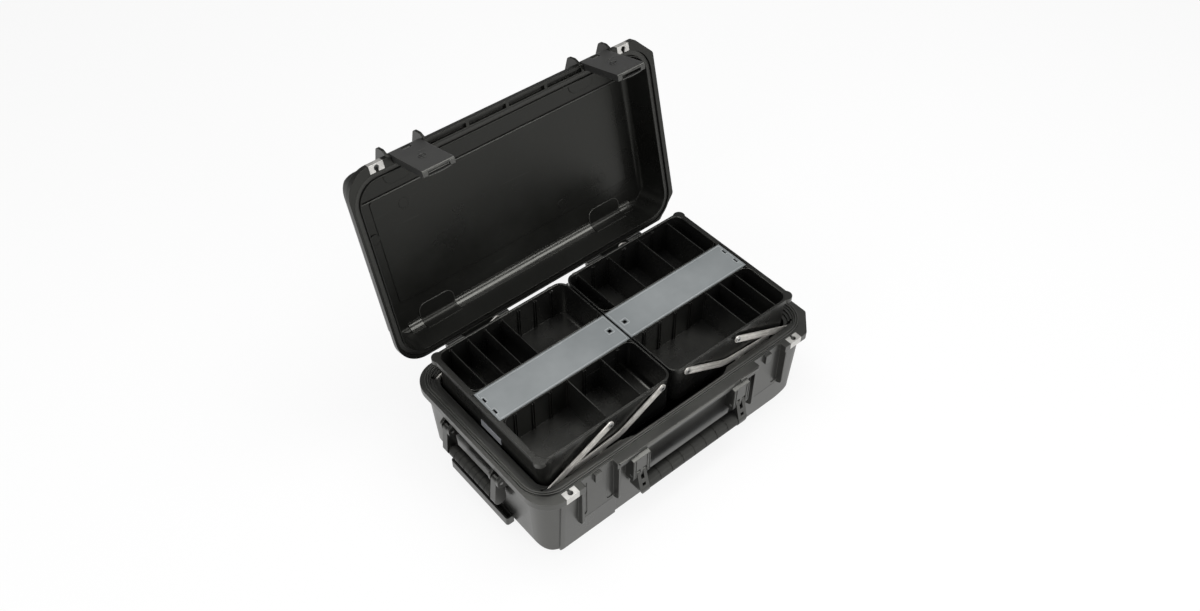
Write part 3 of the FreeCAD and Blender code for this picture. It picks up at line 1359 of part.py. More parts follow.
for side, sign in SIDES:
    middle = sign + "latch_x"
    x_latch = (middle + " - latch_half", middle + " + latch_half")
    front = "-latch_pin_y - latch_barrel"
    profile = [
        (front, "seam - latch_foot", "latch_round"),
        ("-latch_back", "seam - latch_foot", "latch_round / 2"),
        ("-latch_back", "seam - keeper_top"),
        ("-latch_pin_y + latch_barrel", "seam + latch_pin_rise"),
        ("-latch_pin_y", "seam + latch_pin_rise + latch_barrel", "latch_round"),
        (front, "seam + latch_pin_rise + latch_barrel", "latch_round"),
    ]
    plate = prism(side + "_latch_block", "YZ", profile, x_latch[0], x_latch[1])
    hollow = block(
        side + "_latch_hollow",
        (middle + " - latch_half + latch_cheek", middle + " + latch_half - latch_cheek"),
        (front + " + latch_plate", "-latch_back + wall"),
        ("seam - latch_foot + latch_cheek", "seam + latch_pin_rise - latch_barrel - latch_lug_gap"),
    )
    lug_room = block(
        side + "_latch_lug_room",
        (middle + " - latch_lug_half - latch_lug_gap", middle + " + latch_lug_half + latch_lug_gap"),
        (front + " - wall", "-latch_back + wall"),
        ("seam - latch_lug_gap - latch_lug_gap", "seam + latch_pin_rise + latch_barrel + wall"),
    )
    window = block(
        side + "_latch_window",
        (middle + " - latch_window", middle + " + latch_window"),
        (front + " + latch_plate", "-latch_window_low"),
        ("seam - latch_foot - wall", "seam - latch_foot + latch_cheek + wall"),
    )
    dimple = round_bar(
        side + "_latch_dimple",
        "y",
        "latch_mark",
        front + " - wall",
        front + " + latch_mark_depth",
        (middle, "seam - latch_mark_drop"),
    )
    bore = round_bar(
        side + "_latch_bore", "x", "latch_pin + pin_play", "-flange_x", "flange_x", ("-latch_pin_y", pin_z)
    )
    trigger_y = "-(trigger_front + trigger_back) / 2"
    trigger_axis = (trigger_y, "seam - trigger_pin_drop")
    trigger_hole = round_bar(
        side + "_trigger_pin_hole", "x", "trigger_pin", x_latch[0], x_latch[1], trigger_axis
    )
    lever = node(
        side + "_latch_lever",
        cut(side + "_latch_lever", plate, [hollow, lug_room, window, dimple, bore, trigger_hole]),
    )
    on_open_lid(lever)
    x_trigger = (middle + " - trigger_half", middle + " + trigger_half")
    tongue = block(
        side + "_trigger_plate",
        x_trigger,
        ("-trigger_front", "-trigger_back"),
        ("seam - trigger_foot", "seam - keeper_foot - hook_gap"),
    )
    barrel = round_bar(
        side + "_trigger_barrel", "x", "trigger_barrel", x_trigger[0], x_trigger[1], trigger_axis
    )
    trigger_bore = round_bar(
        side + "_trigger_bore", "x", "trigger_pin + pin_play", x_latch[0], x_latch[1], trigger_axis
    )
    trigger = node(
        side + "_latch_trigger",
        cut(side + "_latch_trigger", joined(side + "_trigger_body", [tongue, barrel]), [trigger_bore]),
    )
    on_open_lid(trigger)
    pin = node(
        side + "_trigger_pin",
        round_bar(
            side + "_trigger_pin",
            "x",
            "trigger_pin",
            middle + " - latch_half + latch_cheek / 2",
            middle + " + latch_half - latch_cheek / 2",
            trigger_axis,
        ),
    )
    holder = grouped(side + "_trigger_pin_open", [pin])
    NODES.remove(pin)
    pin.Label = side + "_trigger_pin_shut"
    node(side + "_trigger_pin", holder)
    on_open_lid(holder)

# Front handle and side handle


def grip_with_rings(name, axis, radius, core, half, centre):
    body = round_bar(name + "_body", axis, radius, "-" + half, half, centre)
    hole = round_bar(
        name + "_hole", axis, core + " + grip_gap", "-%s - wall" % half, half + " + wall", centre
    )
    grooves = []
    count = int(number("grip_rings"))
    for index in range(count):
        share = "%r" % ((index + 1) / (count + 1) * 2 - 1)
        at = "(%s * %s)" % (share, half)
        disc = round_bar(
            "%s_disc_%d" % (name, index),
            axis,
            radius + " + wall",
            at + " - ring_half",
            at + " + ring_half",
            centre,
        )
        keep = round_bar(
            "%s_keep_%d" % (name, index),
            axis,
            radius + " - ring_depth",
            at + " - ring_half",
            at + " + ring_half",
            centre,
        )
        grooves.append(cut("%s_ring_%d" % (name, index), disc, [keep]))
    return cut(name, body, [hole] + grooves)


grip_axis = ("-front_grip_y", "seam - front_grip_drop")
arms = []
for side, sign in SIDES:
    middle = sign + "front_arm_x"
    ends = (middle + " - front_arm_half", middle + " + front_arm_half")
    side_view = [
        ("-front_pivot_y - front_eye", "seam - front_pivot_drop"),
        ("-front_pivot_y + front_eye", "seam - front_pivot_drop"),
        ("-front_grip_y + front_foot", "seam - front_grip_drop"),
        ("-front_grip_y - front_foot", "seam - front_grip_drop"),
    ]
    web = prism("front_web_" + side, "YZ", side_view, ends[0], ends[1])
    eye = round_bar("front_eye_" + side, "x", "front_eye", ends[0], ends[1], front_pivot)
    end = round_bar("front_foot_" + side, "x", "front_foot", ends[0], ends[1], grip_axis)
    depth = ("-front_grip_y - front_foot - wall", "-front_pivot_y + front_foot + wall")
    above = ("seam - rib_drop - shoulder_gap", "seam")
    notches = [
        block(
            "arm_notch_middle_" + side,
            (middle + " - rib_half - rib_gap", middle + " + rib_half + rib_gap"),
            depth,
            above,
        ),
    ]
    window_z = ("seam - window_foot", "seam - window_top")
    notches.append(
        block(
            "front_window_" + side, (middle + " - window_half", middle + " + window_half"), depth, window_z
        )
    )
    arms.append(cut("front_arm_" + side, joined("front_arm_body_" + side, [eye, end, web]), notches))
bar = round_bar("front_core_bar", "x", "front_core", "-front_arm_x", "front_arm_x", grip_axis)
front_bore = round_bar("front_frame_bore", "x", "handle_pin + pin_play", "-flange_x", "flange_x", front_pivot)
front_view = prism("front_frame_view", "XZ", [
    ("-front_arm_x - front_arm_half", "seam - front_grip_drop - front_foot", "front_round"),
    ("front_arm_x + front_arm_half", "seam - front_grip_drop - front_foot", "front_round"),
    ("front_arm_x + front_arm_half", "seam"),
    ("-front_arm_x - front_arm_half", "seam"),
], "-front_grip_y - front_foot - wall", "0")
front_frame = shared("front_frame_rounded", [joined("front_frame_body", arms + [bar]), front_view])
node("front_handle_frame", cut("front_handle_frame", front_frame, [front_bore]))
node(
    "front_handle_grip",
    grip_with_rings("front_handle_grip", "x", "front_grip", "front_core", "front_grip_half", grip_axis),
)

grip_axis = ("-side_grip_x", "seam - side_grip_drop")
arms = []
for side, sign in (("front", "-"), ("rear", "")):
    ends = (sign + "side_arm_y - side_arm_half", sign + "side_arm_y + side_arm_half")
    eye = round_bar("side_eye_" + side, "y", "side_eye", ends[0], ends[1], side_pivot)
    end = round_bar("side_foot_" + side, "y", "side_foot", ends[0], ends[1], grip_axis)
    web = prism("side_web_" + side, "XZ", [
        ("-side_grip_x - side_foot", "seam - side_grip_drop"),
        ("-side_grip_x + side_foot", "seam - side_grip_drop"),
        ("-side_pivot_x + side_eye", "seam - side_pivot_drop"),
        ("-side_pivot_x - side_eye", "seam - side_pivot_drop"),
    ], ends[0], ends[1])
    arms.append(joined("side_arm_" + side, [eye, end, web]))
bar = round_bar("side_core_bar", "y", "side_core", "-side_arm_y", "side_arm_y", grip_axis)
side_bore = round_bar(
    "side_frame_bore", "y", "handle_pin + pin_play", "-flange_front", "flange_front", side_pivot
)
node("side_handle_frame", cut("side_handle_frame", joined("side_frame_body", arms + [bar]), [side_bore]))
node(
    "side_handle_grip",
    grip_with_rings("side_handle_grip", "y", "side_grip", "side_core", "side_grip_half", grip_axis),
)

# Pull handle

bar = prism("pull_bar_body", "XY", [
    ("-pull_bar_out", "-pull_bar_half", "pull_bar_round"),
    ("-pull_bar_in", "-pull_bar_half"),
    ("-pull_bar_in", "pull_bar_half"),
    ("-pull_bar_out", "pull_bar_half", "pull_bar_round"),
], "pull_bar_low", "pull_bar_high")
trough = block(
    "pull_bar_trough",
    ("-pull_bar_out + pull_bar_wall", "-pull_bar_in - pull_bar_wall"),
    ("-pull_bar_half + pull_bar_wall", "pull_bar_half - pull_bar_wall"),
    ("pull_bar_low + pull_bar_wall", "pull_bar_high + wall"),
)
node("pull_handle_bar", cut("pull_handle_bar", bar, [trough]))
rods = [
    block(
        "pull_rod_" + side,
        ("-pull_bar_in", "rod_end"),
        (sign + "rod_y - rod_half_y", sign + "rod_y + rod_half_y"),
        ("rod_z - rod_half_z", "rod_z + rod_half_z"),
    )
    for side, sign in (("front", "-"), ("rear", ""))
]
node("pull_handle_rods", grouped("pull_handle_rods", rods))

# Wheels

for side, sign in (("front", "-"), ("rear", "")):
    axis = ("wheel_x", "wheel_z")
    low, high = sign + "wheel_y - wheel_half", sign + "wheel_y + wheel_half"
    rim_outer = round_bar(side + "_rim_outer", "y", "wheel_radius - wheel_tread", low, high, axis)
    rim_inner = round_bar(side + "_rim_inner", "y", "wheel_radius - wheel_tread - wheel_rim", low, high, axis)
    disc = round_bar(
        side + "_wheel_disc",
        "y",
        "wheel_radius - wheel_tread",
        sign + "wheel_y - wheel_web_half",
        sign + "wheel_y + wheel_web_half",
        axis,
    )
    hub = round_bar(side + "_hub_body", "y", "wheel_hub", low, high, axis)
    hub_bore = round_bar(side + "_hub_bore", "y", "axle + pin_play", low, high, axis)
    rim = cut(side + "_rim", rim_outer, [rim_inner])
    node(
        side + "_wheel_hub",
        cut(side + "_wheel_hub", joined(side + "_hub_parts", [rim, disc, hub]), [hub_bore]),
    )
    tyre_outer = round_bar(side + "_tyre_outer", "y", "wheel_radius", low, high, axis)
    tyre_inner = round_bar(side + "_tyre_inner", "y", "wheel_radius - wheel_tread", low, high, axis)
    node(side + "_wheel_tyre", cut(side + "_wheel_tyre", tyre_outer, [tyre_inner]))

# Trays. Divider positions count from a tray's outer end.

ROWS_OF_BINS = {
    "rear": ("row_rear + guide_half", "tray_y - tray_wall"),
    "middle": ("-row_front + tray_wall", "row_rear - tray_wall"),
    "front": ("-tray_y + tray_wall", "-row_front"),
}
DIVIDERS = {
    "left": {"rear": (0, 1, 2, 3), "front": (3, 5)},
    "right": {"rear": (0, 2, 4, 6), "front": (0, 1, 2)},
}


def divider_x(position):
    return "(-tray_outer + guide_first + %d * guide_pitch)" % position


def tray_shell():
    body = prism("tray_body", "XY", [
        ("-tray_outer", "-tray_y", "tray_corner"),
        ("-tray_inner", "-tray_y", "tray_corner"),
        ("-tray_inner", "tray_y", "tray_corner"),
        ("-tray_outer", "tray_y", "tray_corner"),
    ], "seam - tray_low", "seam + tray_high")
    bins = []
    ends = ("-tray_outer + tray_wall", "-tray_inner - tray_wall")
    for row, (low, high) in ROWS_OF_BINS.items():
        corners = [
            (ends[0], low, "tray_bin_corner"),
            (ends[1], low, "tray_bin_corner"),
            (ends[1], high, "tray_bin_corner"),
            (ends[0], high, "tray_bin_corner"),
        ]
        if row == "rear":
            corners = corners[:2] + [c[:2] + ("tray_corner - tray_wall",) for c in corners[2:]]
        if row == "front":
            corners = [c[:2] + ("tray_corner - tray_wall",) for c in corners[:2]] + corners[2:]
        bins.append(
            prism(
                "tray_bin_" + row,
                "XY",
                corners,
                "seam - tray_low + tray_floor",
                "seam + tray_high + edge_gap",
            )
        )
    inner_foot = "seam - tray_low + tray_floor"
    bin_view = [
        (ends[0], inner_foot, "tray_foot_round - tray_wall"),
        (ends[1], inner_foot, "tray_foot_round - tray_wall"),
        (ends[1], "seam + tray_high + edge_gap"),
        (ends[0], "seam + tray_high + edge_gap"),
    ]
    bins = [
        shared(
            "tray_bins",
            [joined("tray_bin_plan", bins), prism("tray_bin_view", "XZ", bin_view, "-tray_y", "tray_y")],
        )
    ]
    seat = block(
        "cover_seat",
        ("-tray_outer - edge_gap", "-tray_inner + edge_gap"),
        ("-row_front - cover_play", "row_rear + cover_play"),
        ("seam + tray_high - cover_seat", "seam + tray_high + edge_gap"),
    )
    body_view = [
        ("-tray_outer", "seam - tray_low", "tray_foot_round"),
        ("-tray_inner", "seam - tray_low", "tray_foot_round"),
        ("-tray_inner", "seam + tray_high"),
        ("-tray_outer", "seam + tray_high"),
    ]
    body = shared("tray_rounded", [body, prism("tray_view", "XZ", body_view, "-tray_y", "tray_y")])
    rim_z = ("seam + tray_high - rim_height", "seam + tray_high")
    rim = prism("tray_rim", "XY", [
        ("-tray_outer - rim_end_reach", "-tray_y - rim_side_reach", "tray_corner"),
        ("-tray_inner", "-tray_y - rim_side_reach", "tray_corner"),
        ("-tray_inner", "tray_y + rim_side_reach", "tray_corner"),
        ("-tray_outer - rim_end_reach", "tray_y + rim_side_reach", "tray_corner"),
    ], rim_z[0], rim_z[1])
    boss_x = "-tray_outer - rim_end_reach - rim_boss_reach + rim_boss"
    boss_y = "(tray_y + rim_side_reach + rim_boss_reach - rim_boss)"
    bosses = [
        round_bar("rim_boss_" + mark, "z", "rim_boss", rim_z[0], rim_z[1], (boss_x, sign + boss_y))
        for mark, sign in (("front", "-"), ("rear", ""))
    ]
    knuckle_room = block(
        "cover_knuckle_room",
        ("-tray_outer - cover_thickness - edge_gap", "-tray_outer"),
        ("-row_front - cover_play", "row_rear + cover_play"),
        ("seam + tray_high - cover_seat - cover_play - cover_play", "seam + tray_high + edge_gap"),
    )
    shell = cut("tray_with_bins", joined("tray_with_rim", [body, rim] + bosses), bins + [seat, knuckle_room])
    guides = []
    guide_foot, guide_top = "seam - tray_low + tray_floor / 2", "seam + tray_high - divider_drop - cover_seat"
    offset = "(divider_half + guide_gap + guide_half)"
    for row in ("rear", "front"):
        low, high = ROWS_OF_BINS[row]
        for position in range(int(number("guide_count"))):
            for mark, sign in (("a", "-"), ("b", "+")):
                at = "%s %s %s" % (divider_x(position), sign, offset)
                for wall_mark, ys in (
                    ("low", (low + " - tray_wall / 2", low + " + guide_reach")),
                    ("high", (high + " - guide_reach", high + " + tray_wall / 2")),
                ):
                    guides.append(
                        block(
                            "guide_%s_%d_%s_%s" % (row, position, mark, wall_mark),
                            (at + " - guide_half", at + " + guide_half"),
                            ys,
                            (guide_foot, guide_top),
                        )
                    )
    spacers = []
    for side, sign in (("front", "-"), ("rear", "")):
        for mark, x, plane in (
            ("straight", high_straight, "straight_y"), ("curved", high_curved, "curved_y")
        ):
            ends_y = (
                "-(%s - arm_play)" % plane, "-tray_y + tray_wall / 2"
            ) if sign else ("tray_y - tray_wall / 2", plane + " - arm_play")
            spacers.append(
                round_bar(
                    "spacer_%s_%s" % (side, mark), "y", "rivet_head", ends_y[0], ends_y[1], (x, upper)
                )
            )
    solid = joined("tray_solid", [shell] + guides + spacers)
    bores = [
        round_bar("tray_bore_" + mark, "y", "rivet", "-straight_y", "straight_y", (x, upper))
        for mark, x in (("straight", high_straight), ("curved", high_curved))
    ]
    keep = block(
        "tray_bore_keep",
        ("-tray_outer", "-tray_inner"),
        ("-tray_y + tray_wall", "tray_y - tray_wall"),
        ("seam", "seam + tray_high"),
    )
    return cut("left_tray", solid, [cut("tray_bores", joined("tray_bore_pair", bores), [keep])])


def straight_arm(name, plane_low, plane_high):
    """A flat bar with round ends from the lower to the upper pivot."""
    over = "arm_half"
    along_x, along_z = "cos(arm_angle)", "sin(arm_angle)"
    corners = []
    for base_x, base_z, reach, width in (
        (low_straight, lower, "-", "-"),
        (high_straight, upper, "", "-"),
        (high_straight, upper, "", ""),
        (low_straight, lower, "-", ""),
    ):
        corners.append((
            "%s + (%s%s) * %s - (%s%s) * %s" % (base_x, reach, over, along_x, width, over, along_z),
            "%s + (%s%s) * %s + (%s%s) * %s" % (base_z, reach, over, along_z, width, over, along_x),
            "arm_end_round",
        ))
    body = prism(name + "_body", "XZ", corners, plane_low, plane_high)
    bores = [
        round_bar("%s_bore_%d" % (name, i), "y", "rivet + pin_play", "-mouth_y", "mouth_y", place)
        for i, place in enumerate(((low_straight, lower), (high_straight, upper)))
    ]
    return cut(name, body, bores)


def curved_arm(name, plane_low, plane_high):
    """A bar that bends flat past its lower pivot, where it runs on as a tail."""
    bend_x, bend_z = "(%s + bend_ahead)" % low_curved, "(%s + bend_lift)" % lower
    tail_x = "(%s - curved_lower * cos(curved_tail_slope))" % bend_x
    tail_z = "(%s - curved_lower * sin(curved_tail_slope))" % bend_z
    mean, half_turn = "((curved_slope + curved_tail_slope) / 2)", "((curved_slope - curved_tail_slope) / 2)"
    tip_x = "(%s + arm_half * cos(curved_slope))" % high_curved
    tip_z = "(%s + arm_half * sin(curved_slope))" % upper
    corners = [
        (
            "%s + arm_half * sin(curved_tail_slope)" % tail_x,
            "%s - arm_half * cos(curved_tail_slope)" % tail_z,
            "arm_end_round",
        ),
        (
            "%s + arm_half * sin(%s) / cos(%s)" % (bend_x, mean, half_turn),
            "%s - arm_half * cos(%s) / cos(%s)" % (bend_z, mean, half_turn),
            "curved_bend",
        ),
        (
            "%s + arm_half * sin(curved_slope)" % tip_x,
            "%s - arm_half * cos(curved_slope)" % tip_z,
            "arm_end_round",
        ),
        (
            "%s - arm_half * sin(curved_slope)" % tip_x,
            "%s + arm_half * cos(curved_slope)" % tip_z,
            "arm_end_round",
        ),
        (
            "%s - arm_half * sin(%s) / cos(%s)" % (bend_x, mean, half_turn),
            "%s + arm_half * cos(%s) / cos(%s)" % (bend_z, mean, half_turn),
            "curved_bend",
        ),
        (
            "%s - arm_half * sin(curved_tail_slope)" % tail_x,
            "%s + arm_half * cos(curved_tail_slope)" % tail_z,
            "arm_end_round",
        ),
    ]
    body = prism(name + "_body", "XZ", corners, plane_low, plane_high)
    eye = round_bar(name + "_eye", "y", "curved_eye", plane_low, plane_high, (low_curved, lower))
    neck_x = (low_curved + " - curved_eye", low_curved + " + curved_eye")
    neck_z = (lower, "%s - bend_ahead * tan(curved_tail_slope)" % bend_z)
    neck = block(name + "_neck", neck_x, (plane_low, plane_high), neck_z)
    bores = [
        round_bar("%s_bore_%d" % (name, i), "y", "rivet + pin_play", "-mouth_y", "mouth_y", place)
        for i, place in enumerate(((low_curved, lower), (high_curved, upper)))
    ]
    return cut(name, joined(name + "_bar", [body, neck, eye]), bores)


def tray_dividers(side):
    plates = []
    sign = "" if side == "left" else "-"
    for row, positions in DIVIDERS[side].items():
        low, high = ROWS_OF_BINS[row]
        for position in positions:
            at = "%s%s" % (sign, divider_x(position))
            plates.append(
                block(
                    "%s_divider_%s_%d" % (side, row, position),
                    (at + " - divider_half", at + " + divider_half"),
                    (low + " + divider_gap", high + " - divider_gap"),
                    ("seam - tray_low + tray_floor", "seam + tray_high - divider_drop"),
                )
            )
    return grouped(side + "_tray_dividers", plates)


def upper_rivets():
    rivets = []
    for side, sign in (("front", "-"), ("rear", "")):
        for mark, x, plane in (
            ("straight", high_straight, "straight_y"), ("curved", high_curved, "curved_y")
        ):
            head_low = plane + " + arm_steel + arm_play"
            rivets.append(
                rivet(
                    "upper_rivet_%s_%s" % (side, mark),
                    x,
                    upper,
                    "tray_y - tray_wall",
                    head_low,
                    head_low + " + rivet_head_thickness",
                    sign,
                )
            )
    return grouped("left_tray_rivets", rivets)


def bin_cover():
    top = "seam + tray_high - cover_seat + cover_thickness"
    plate = block(
        "cover_plate",
        ("-tray_outer", "-tray_inner - cover_play"),
        ("-row_front + cover_play", "row_rear - cover_play"),
        ("seam + tray_high - cover_seat", top),
    )
    middle = "(row_rear - row_front) / 2"
    holes = [
        block(
            "cover_latch_hole",
            ("-cover_latch_x - cover_latch_half", "-cover_latch_x + cover_latch_half"),
            (middle + " - cover_latch_half", middle + " + cover_latch_half"),
            ("seam", top + " + edge_gap"),
        )
    ]
    for mark, sign in (("front", "-"), ("rear", "+")):
        at = "%s %s cover_slot_y" % (middle, sign)
        holes.append(
            block(
                "cover_slot_" + mark,
                ("-cover_hinge - cover_slot_half", "-cover_hinge + cover_slot_half"),
                (at + " - cover_slot_length", at + " + cover_slot_length"),
                ("seam", top + " + edge_gap"),
            )
        )
    return cut("left_bin_cover", plate, holes)


left_parts = [
    ("tray", tray_shell()),
    ("tray_rivets", upper_rivets()),
    (
        "straight_arms",
        grouped(
            "left_straight_arms",
            [
                straight_arm("left_straight_front", "-straight_y - arm_steel", "-straight_y"),
                straight_arm("left_straight_rear", "straight_y", "straight_y + arm_steel"),
            ],
        ),
    ),
    (
        "curved_arms",
        grouped(
            "left_curved_arms",
            [
                curved_arm("left_curved_front", "-curved_y - arm_steel", "-curved_y"),
                curved_arm("left_curved_rear", "curved_y", "curved_y + arm_steel"),
            ],
        ),
    ),
    ("bin_cover", bin_cover()),
    (
        "end_tab",
        block(
            "left_end_tab",
            ("-tray_outer - tab_thickness", "-tray_outer"),
            ("-tab_y - tab_half", "-tab_y + tab_half"),
            ("seam - tab_low", "seam + tab_high"),
        ),
    ),
]
for name, shape in left_parts:
    node("left_" + name, shape)
    node("right_" + name, mirrored("right_" + name, shape))
for side, sign in SIDES:
    node(side + "_tray_dividers", tray_dividers(side))

doc.recompute()

problems = []
for shape in doc.Objects:
    if "Invalid" in shape.State or "Error" in shape.State:
        problems.append(shape.Name)
if problems:
    raise RuntimeError("failed: " + ", ".join(problems))
for shape in NODES:
    solid = shape.Shape
    if solid.isNull() or not solid.isValid() or not solid.Solids:
        raise RuntimeError("bad shape: " + shape.Label)
    solid.exportStep("parts/%s.step" % shape.Label)
    box = solid.BoundBox
    print(
        "%-26s solids %d  x %.1f %.1f  y %.1f %.1f  z %.1f %.1f" % (
            shape.Label, len(solid.Solids), box.XMin, box.XMax, box.YMin, box.YMax, box.ZMin, box.ZMax
        )
    )
print(len(NODES), "nodes")
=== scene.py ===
# %% [markdown]
# # A rolling tool case with two rising trays
#
# The real object is a moulded travel case for tools, half a metre long. It stands open
# on the floor: the lid leans back on its hinges, and two trays with loose dividers fill
# the mouth of the base, carried by flat steel arms that swing them up and outwards.
#
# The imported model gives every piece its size, place and joint. This lesson dresses it:
# camera, light, plastics and metals first, then the small forms that a mould or a press
# leaves on each piece. Lengths are metres and Z points up.

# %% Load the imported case
import json
import math

import bpy
from mathutils import Matrix, Vector


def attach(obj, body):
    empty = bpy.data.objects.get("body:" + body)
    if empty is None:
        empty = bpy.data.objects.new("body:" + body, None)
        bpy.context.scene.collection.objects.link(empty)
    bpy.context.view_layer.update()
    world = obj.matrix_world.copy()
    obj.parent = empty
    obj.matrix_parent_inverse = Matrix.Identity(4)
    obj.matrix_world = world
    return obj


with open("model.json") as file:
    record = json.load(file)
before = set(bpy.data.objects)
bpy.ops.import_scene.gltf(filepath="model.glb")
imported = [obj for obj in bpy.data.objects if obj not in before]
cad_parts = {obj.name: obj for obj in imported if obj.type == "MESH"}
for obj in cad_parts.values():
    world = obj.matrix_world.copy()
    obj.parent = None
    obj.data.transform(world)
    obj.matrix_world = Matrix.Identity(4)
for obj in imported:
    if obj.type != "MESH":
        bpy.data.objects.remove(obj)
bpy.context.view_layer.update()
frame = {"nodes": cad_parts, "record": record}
nodes = frame["nodes"]


def millimetres(*values):
    """Sizes on the case are thought of in millimetres and built in metres."""
    scaled = tuple(v / 1000 for v in values)
    return scaled if len(scaled) > 1 else scaled[0]


# %% [markdown]
# ## Camera
#
# The picture was taken from above the front left corner. A camera can be aimed by hand,
# or by a constraint that follows a target, but a constraint has to be removed later. A
# turn worked out from the two points is exact and leaves nothing behind.

# %% Place and aim the camera
camera_place = Vector((-0.77113, -0.87438, 1.44283))
camera_target = Vector((0.06085, 0.11014, 0.10717))
camera_data = bpy.data.cameras.new("case_camera")
camera_data.sensor_fit = "HORIZONTAL"
camera_data.sensor_width = 36.0
camera_data.lens = 34.004
camera = bpy.data.objects.new("case_camera", camera_data)
bpy.context.scene.collection.objects.link(camera)
camera.location = camera_place
camera.rotation_euler = (camera_target - camera_place).to_track_quat("-Z", "Y").to_euler()
bpy.context.scene.camera = camera
print("camera", [round(v, 3) for v in camera.location], "lens", camera_data.lens)


# %% [markdown]
# ## Floor and light
#
# The case stands on a white sweep in a studio. The white floor does much of the work:
# it throws light up onto the side walls, so they look lighter than the rims above them.
# The floor could be left out and the background painted white, but then the walls would
# lose that light. Here the floor is a real white surface, and for what the camera and
# glossy plastic see it also glows a little, which takes it to plain white and still
# leaves the soft shadow under the case.

# %% Helpers for every material
def shader_tree(name):
    """A new material with an empty tree and its output node."""
    material = bpy.data.materials.new(name)
    material.use_nodes = True
    tree = material.node_tree
    tree.nodes.clear()
    return material, tree, tree.nodes.new("ShaderNodeOutputMaterial")


def link(tree, start, end):
    """Join two sockets."""
    tree.links.new(start, end)


def maths(tree, operation, first, second=None, clamp=False):
    """One Math node, fed by sockets or by plain numbers."""
    node = tree.nodes.new("ShaderNodeMath")
    node.operation = operation
    node.use_clamp = clamp
    for place, value in enumerate((first, second)):
        if hasattr(value, "is_linked"):
            link(tree, value, node.inputs[place])
        elif value is not None:
            node.inputs[place].default_value = value
    return node.outputs[0]


print("material helpers ready")

# %% Make the studio floor
FLOOR_WIDTH, FLOOR_PAINT, GLOW_SHARE = 60, 0.86, 0.86
floor_material, tree, output = shader_tree("studio_floor")
paint = tree.nodes.new("ShaderNodeBsdfDiffuse")
paint.inputs["Color"].default_value = (FLOOR_PAINT, FLOOR_PAINT, FLOOR_PAINT, 1)
glow = tree.nodes.new("ShaderNodeEmission")
glow.inputs["Color"].default_value = (1, 1, 1, 1)
glow.inputs["Strength"].default_value = 1.0
path = tree.nodes.new("ShaderNodeLightPath")
seen = maths(tree, "MAXIMUM", path.outputs["Is Camera Ray"], path.outputs["Is Glossy Ray"])
seen = maths(tree, "MAXIMUM", seen, path.outputs["Is Transmission Ray"])
mix = tree.nodes.new("ShaderNodeMixShader")
link(tree, maths(tree, "MULTIPLY", seen, GLOW_SHARE), mix.inputs["Fac"])
link(tree, paint.outputs[0], mix.inputs[1])
link(tree, glow.outputs[0], mix.inputs[2])
link(tree, mix.outputs[0], output.inputs["Surface"])

bpy.ops.object.select_all(action="DESELECT")
bpy.ops.mesh.primitive_plane_add(size=FLOOR_WIDTH, location=(0, 0, 0))
floor = bpy.context.active_object
floor.name = "studio_floor"
floor.data.materials.append(floor_material)
print("floor", floor.dimensions.x, "m wide")


# %% [markdown]
# Four soft boxes light the case: a low one at its left, a wide one in front, a large one
# overhead, and one high at the right, whose reflection draws the long highlight in the
# lid. Small lamps would be simpler, but glossy black plastic shows the shape of what
# lights it, so only large lamps give the broad soft shine of a studio.

# %% Light the studio
CASE_MIDDLE = (0, 0, 0.15)
AIR_LIGHT = 0.16


def soft_lamp(name, place, width, height, power):
    """A soft box: a big area lamp that is aimed at the middle of the case."""
    lamp = bpy.data.lights.new(name, "AREA")
    lamp.shape = "RECTANGLE"
    lamp.size, lamp.size_y = width, height
    lamp.energy = power
    holder = bpy.data.objects.new(name, lamp)
    bpy.context.scene.collection.objects.link(holder)
    holder.location = place
    aim = Vector(CASE_MIDDLE) - Vector(place)
    holder.rotation_euler = aim.to_track_quat("-Z", "Y").to_euler()


def background(tree, strength):
    """Plain white air of one strength."""
    node = tree.nodes.new("ShaderNodeBackground")
    node.inputs["Color"].default_value = (1, 1, 1, 1)
    node.inputs["Strength"].default_value = strength
    return node.outputs[0]


soft_lamp("left_soft_box", (-2.3, -0.6, 1.5), 1.2, 1.2, 22)
soft_lamp("front_soft_box", (0.6, -2.5, 1.1), 2.0, 1.0, 30)
soft_lamp("high_soft_box", (-0.3, 0.5, 2.6), 1.8, 1.8, 40)
soft_lamp("right_soft_box", (1.0, -0.4, 2.3), 1.3, 1.1, 20)

world = bpy.data.worlds.new("studio_air")
bpy.context.scene.world = world
world.use_nodes = True
tree = world.node_tree
tree.nodes.clear()
output = tree.nodes.new("ShaderNodeOutputWorld")
path = tree.nodes.new("ShaderNodeLightPath")
mix = tree.nodes.new("ShaderNodeMixShader")
link(tree, path.outputs["Is Camera Ray"], mix.inputs["Fac"])
link(tree, background(tree, AIR_LIGHT), mix.inputs[1])
link(tree, background(tree, 1.0), mix.inputs[2])
link(tree, mix.outputs[0], output.inputs["Surface"])
bpy.context.scene.view_settings.view_transform = "Standard"


# %% [markdown]
# ## Effects that several finishes share
#
# Moulded plastic is never one flat colour. Its grain scatters light, the melt leaves
# faint cloudy streaks, hands and dust leave their own marks, and every edge is a little
# round and a little worn. Each effect is built once as a node group and placed in the
# materials with its own values.

# %% Helpers for node groups and noise
NUMBER = "NodeSocketFloat"


def effect_group(name, inputs, outputs):
    """A shader node group with number sockets; returns it with its two end nodes."""
    group = bpy.data.node_groups.new(name, "ShaderNodeTree")
    for socket, value in inputs:
        made = group.interface.new_socket(name=socket, in_out="INPUT", socket_type=NUMBER)
        made.default_value = value
    for socket in outputs:
        group.interface.new_socket(name=socket, in_out="OUTPUT", socket_type=NUMBER)
    return group, group.nodes.new("NodeGroupInput"), group.nodes.new("NodeGroupOutput")


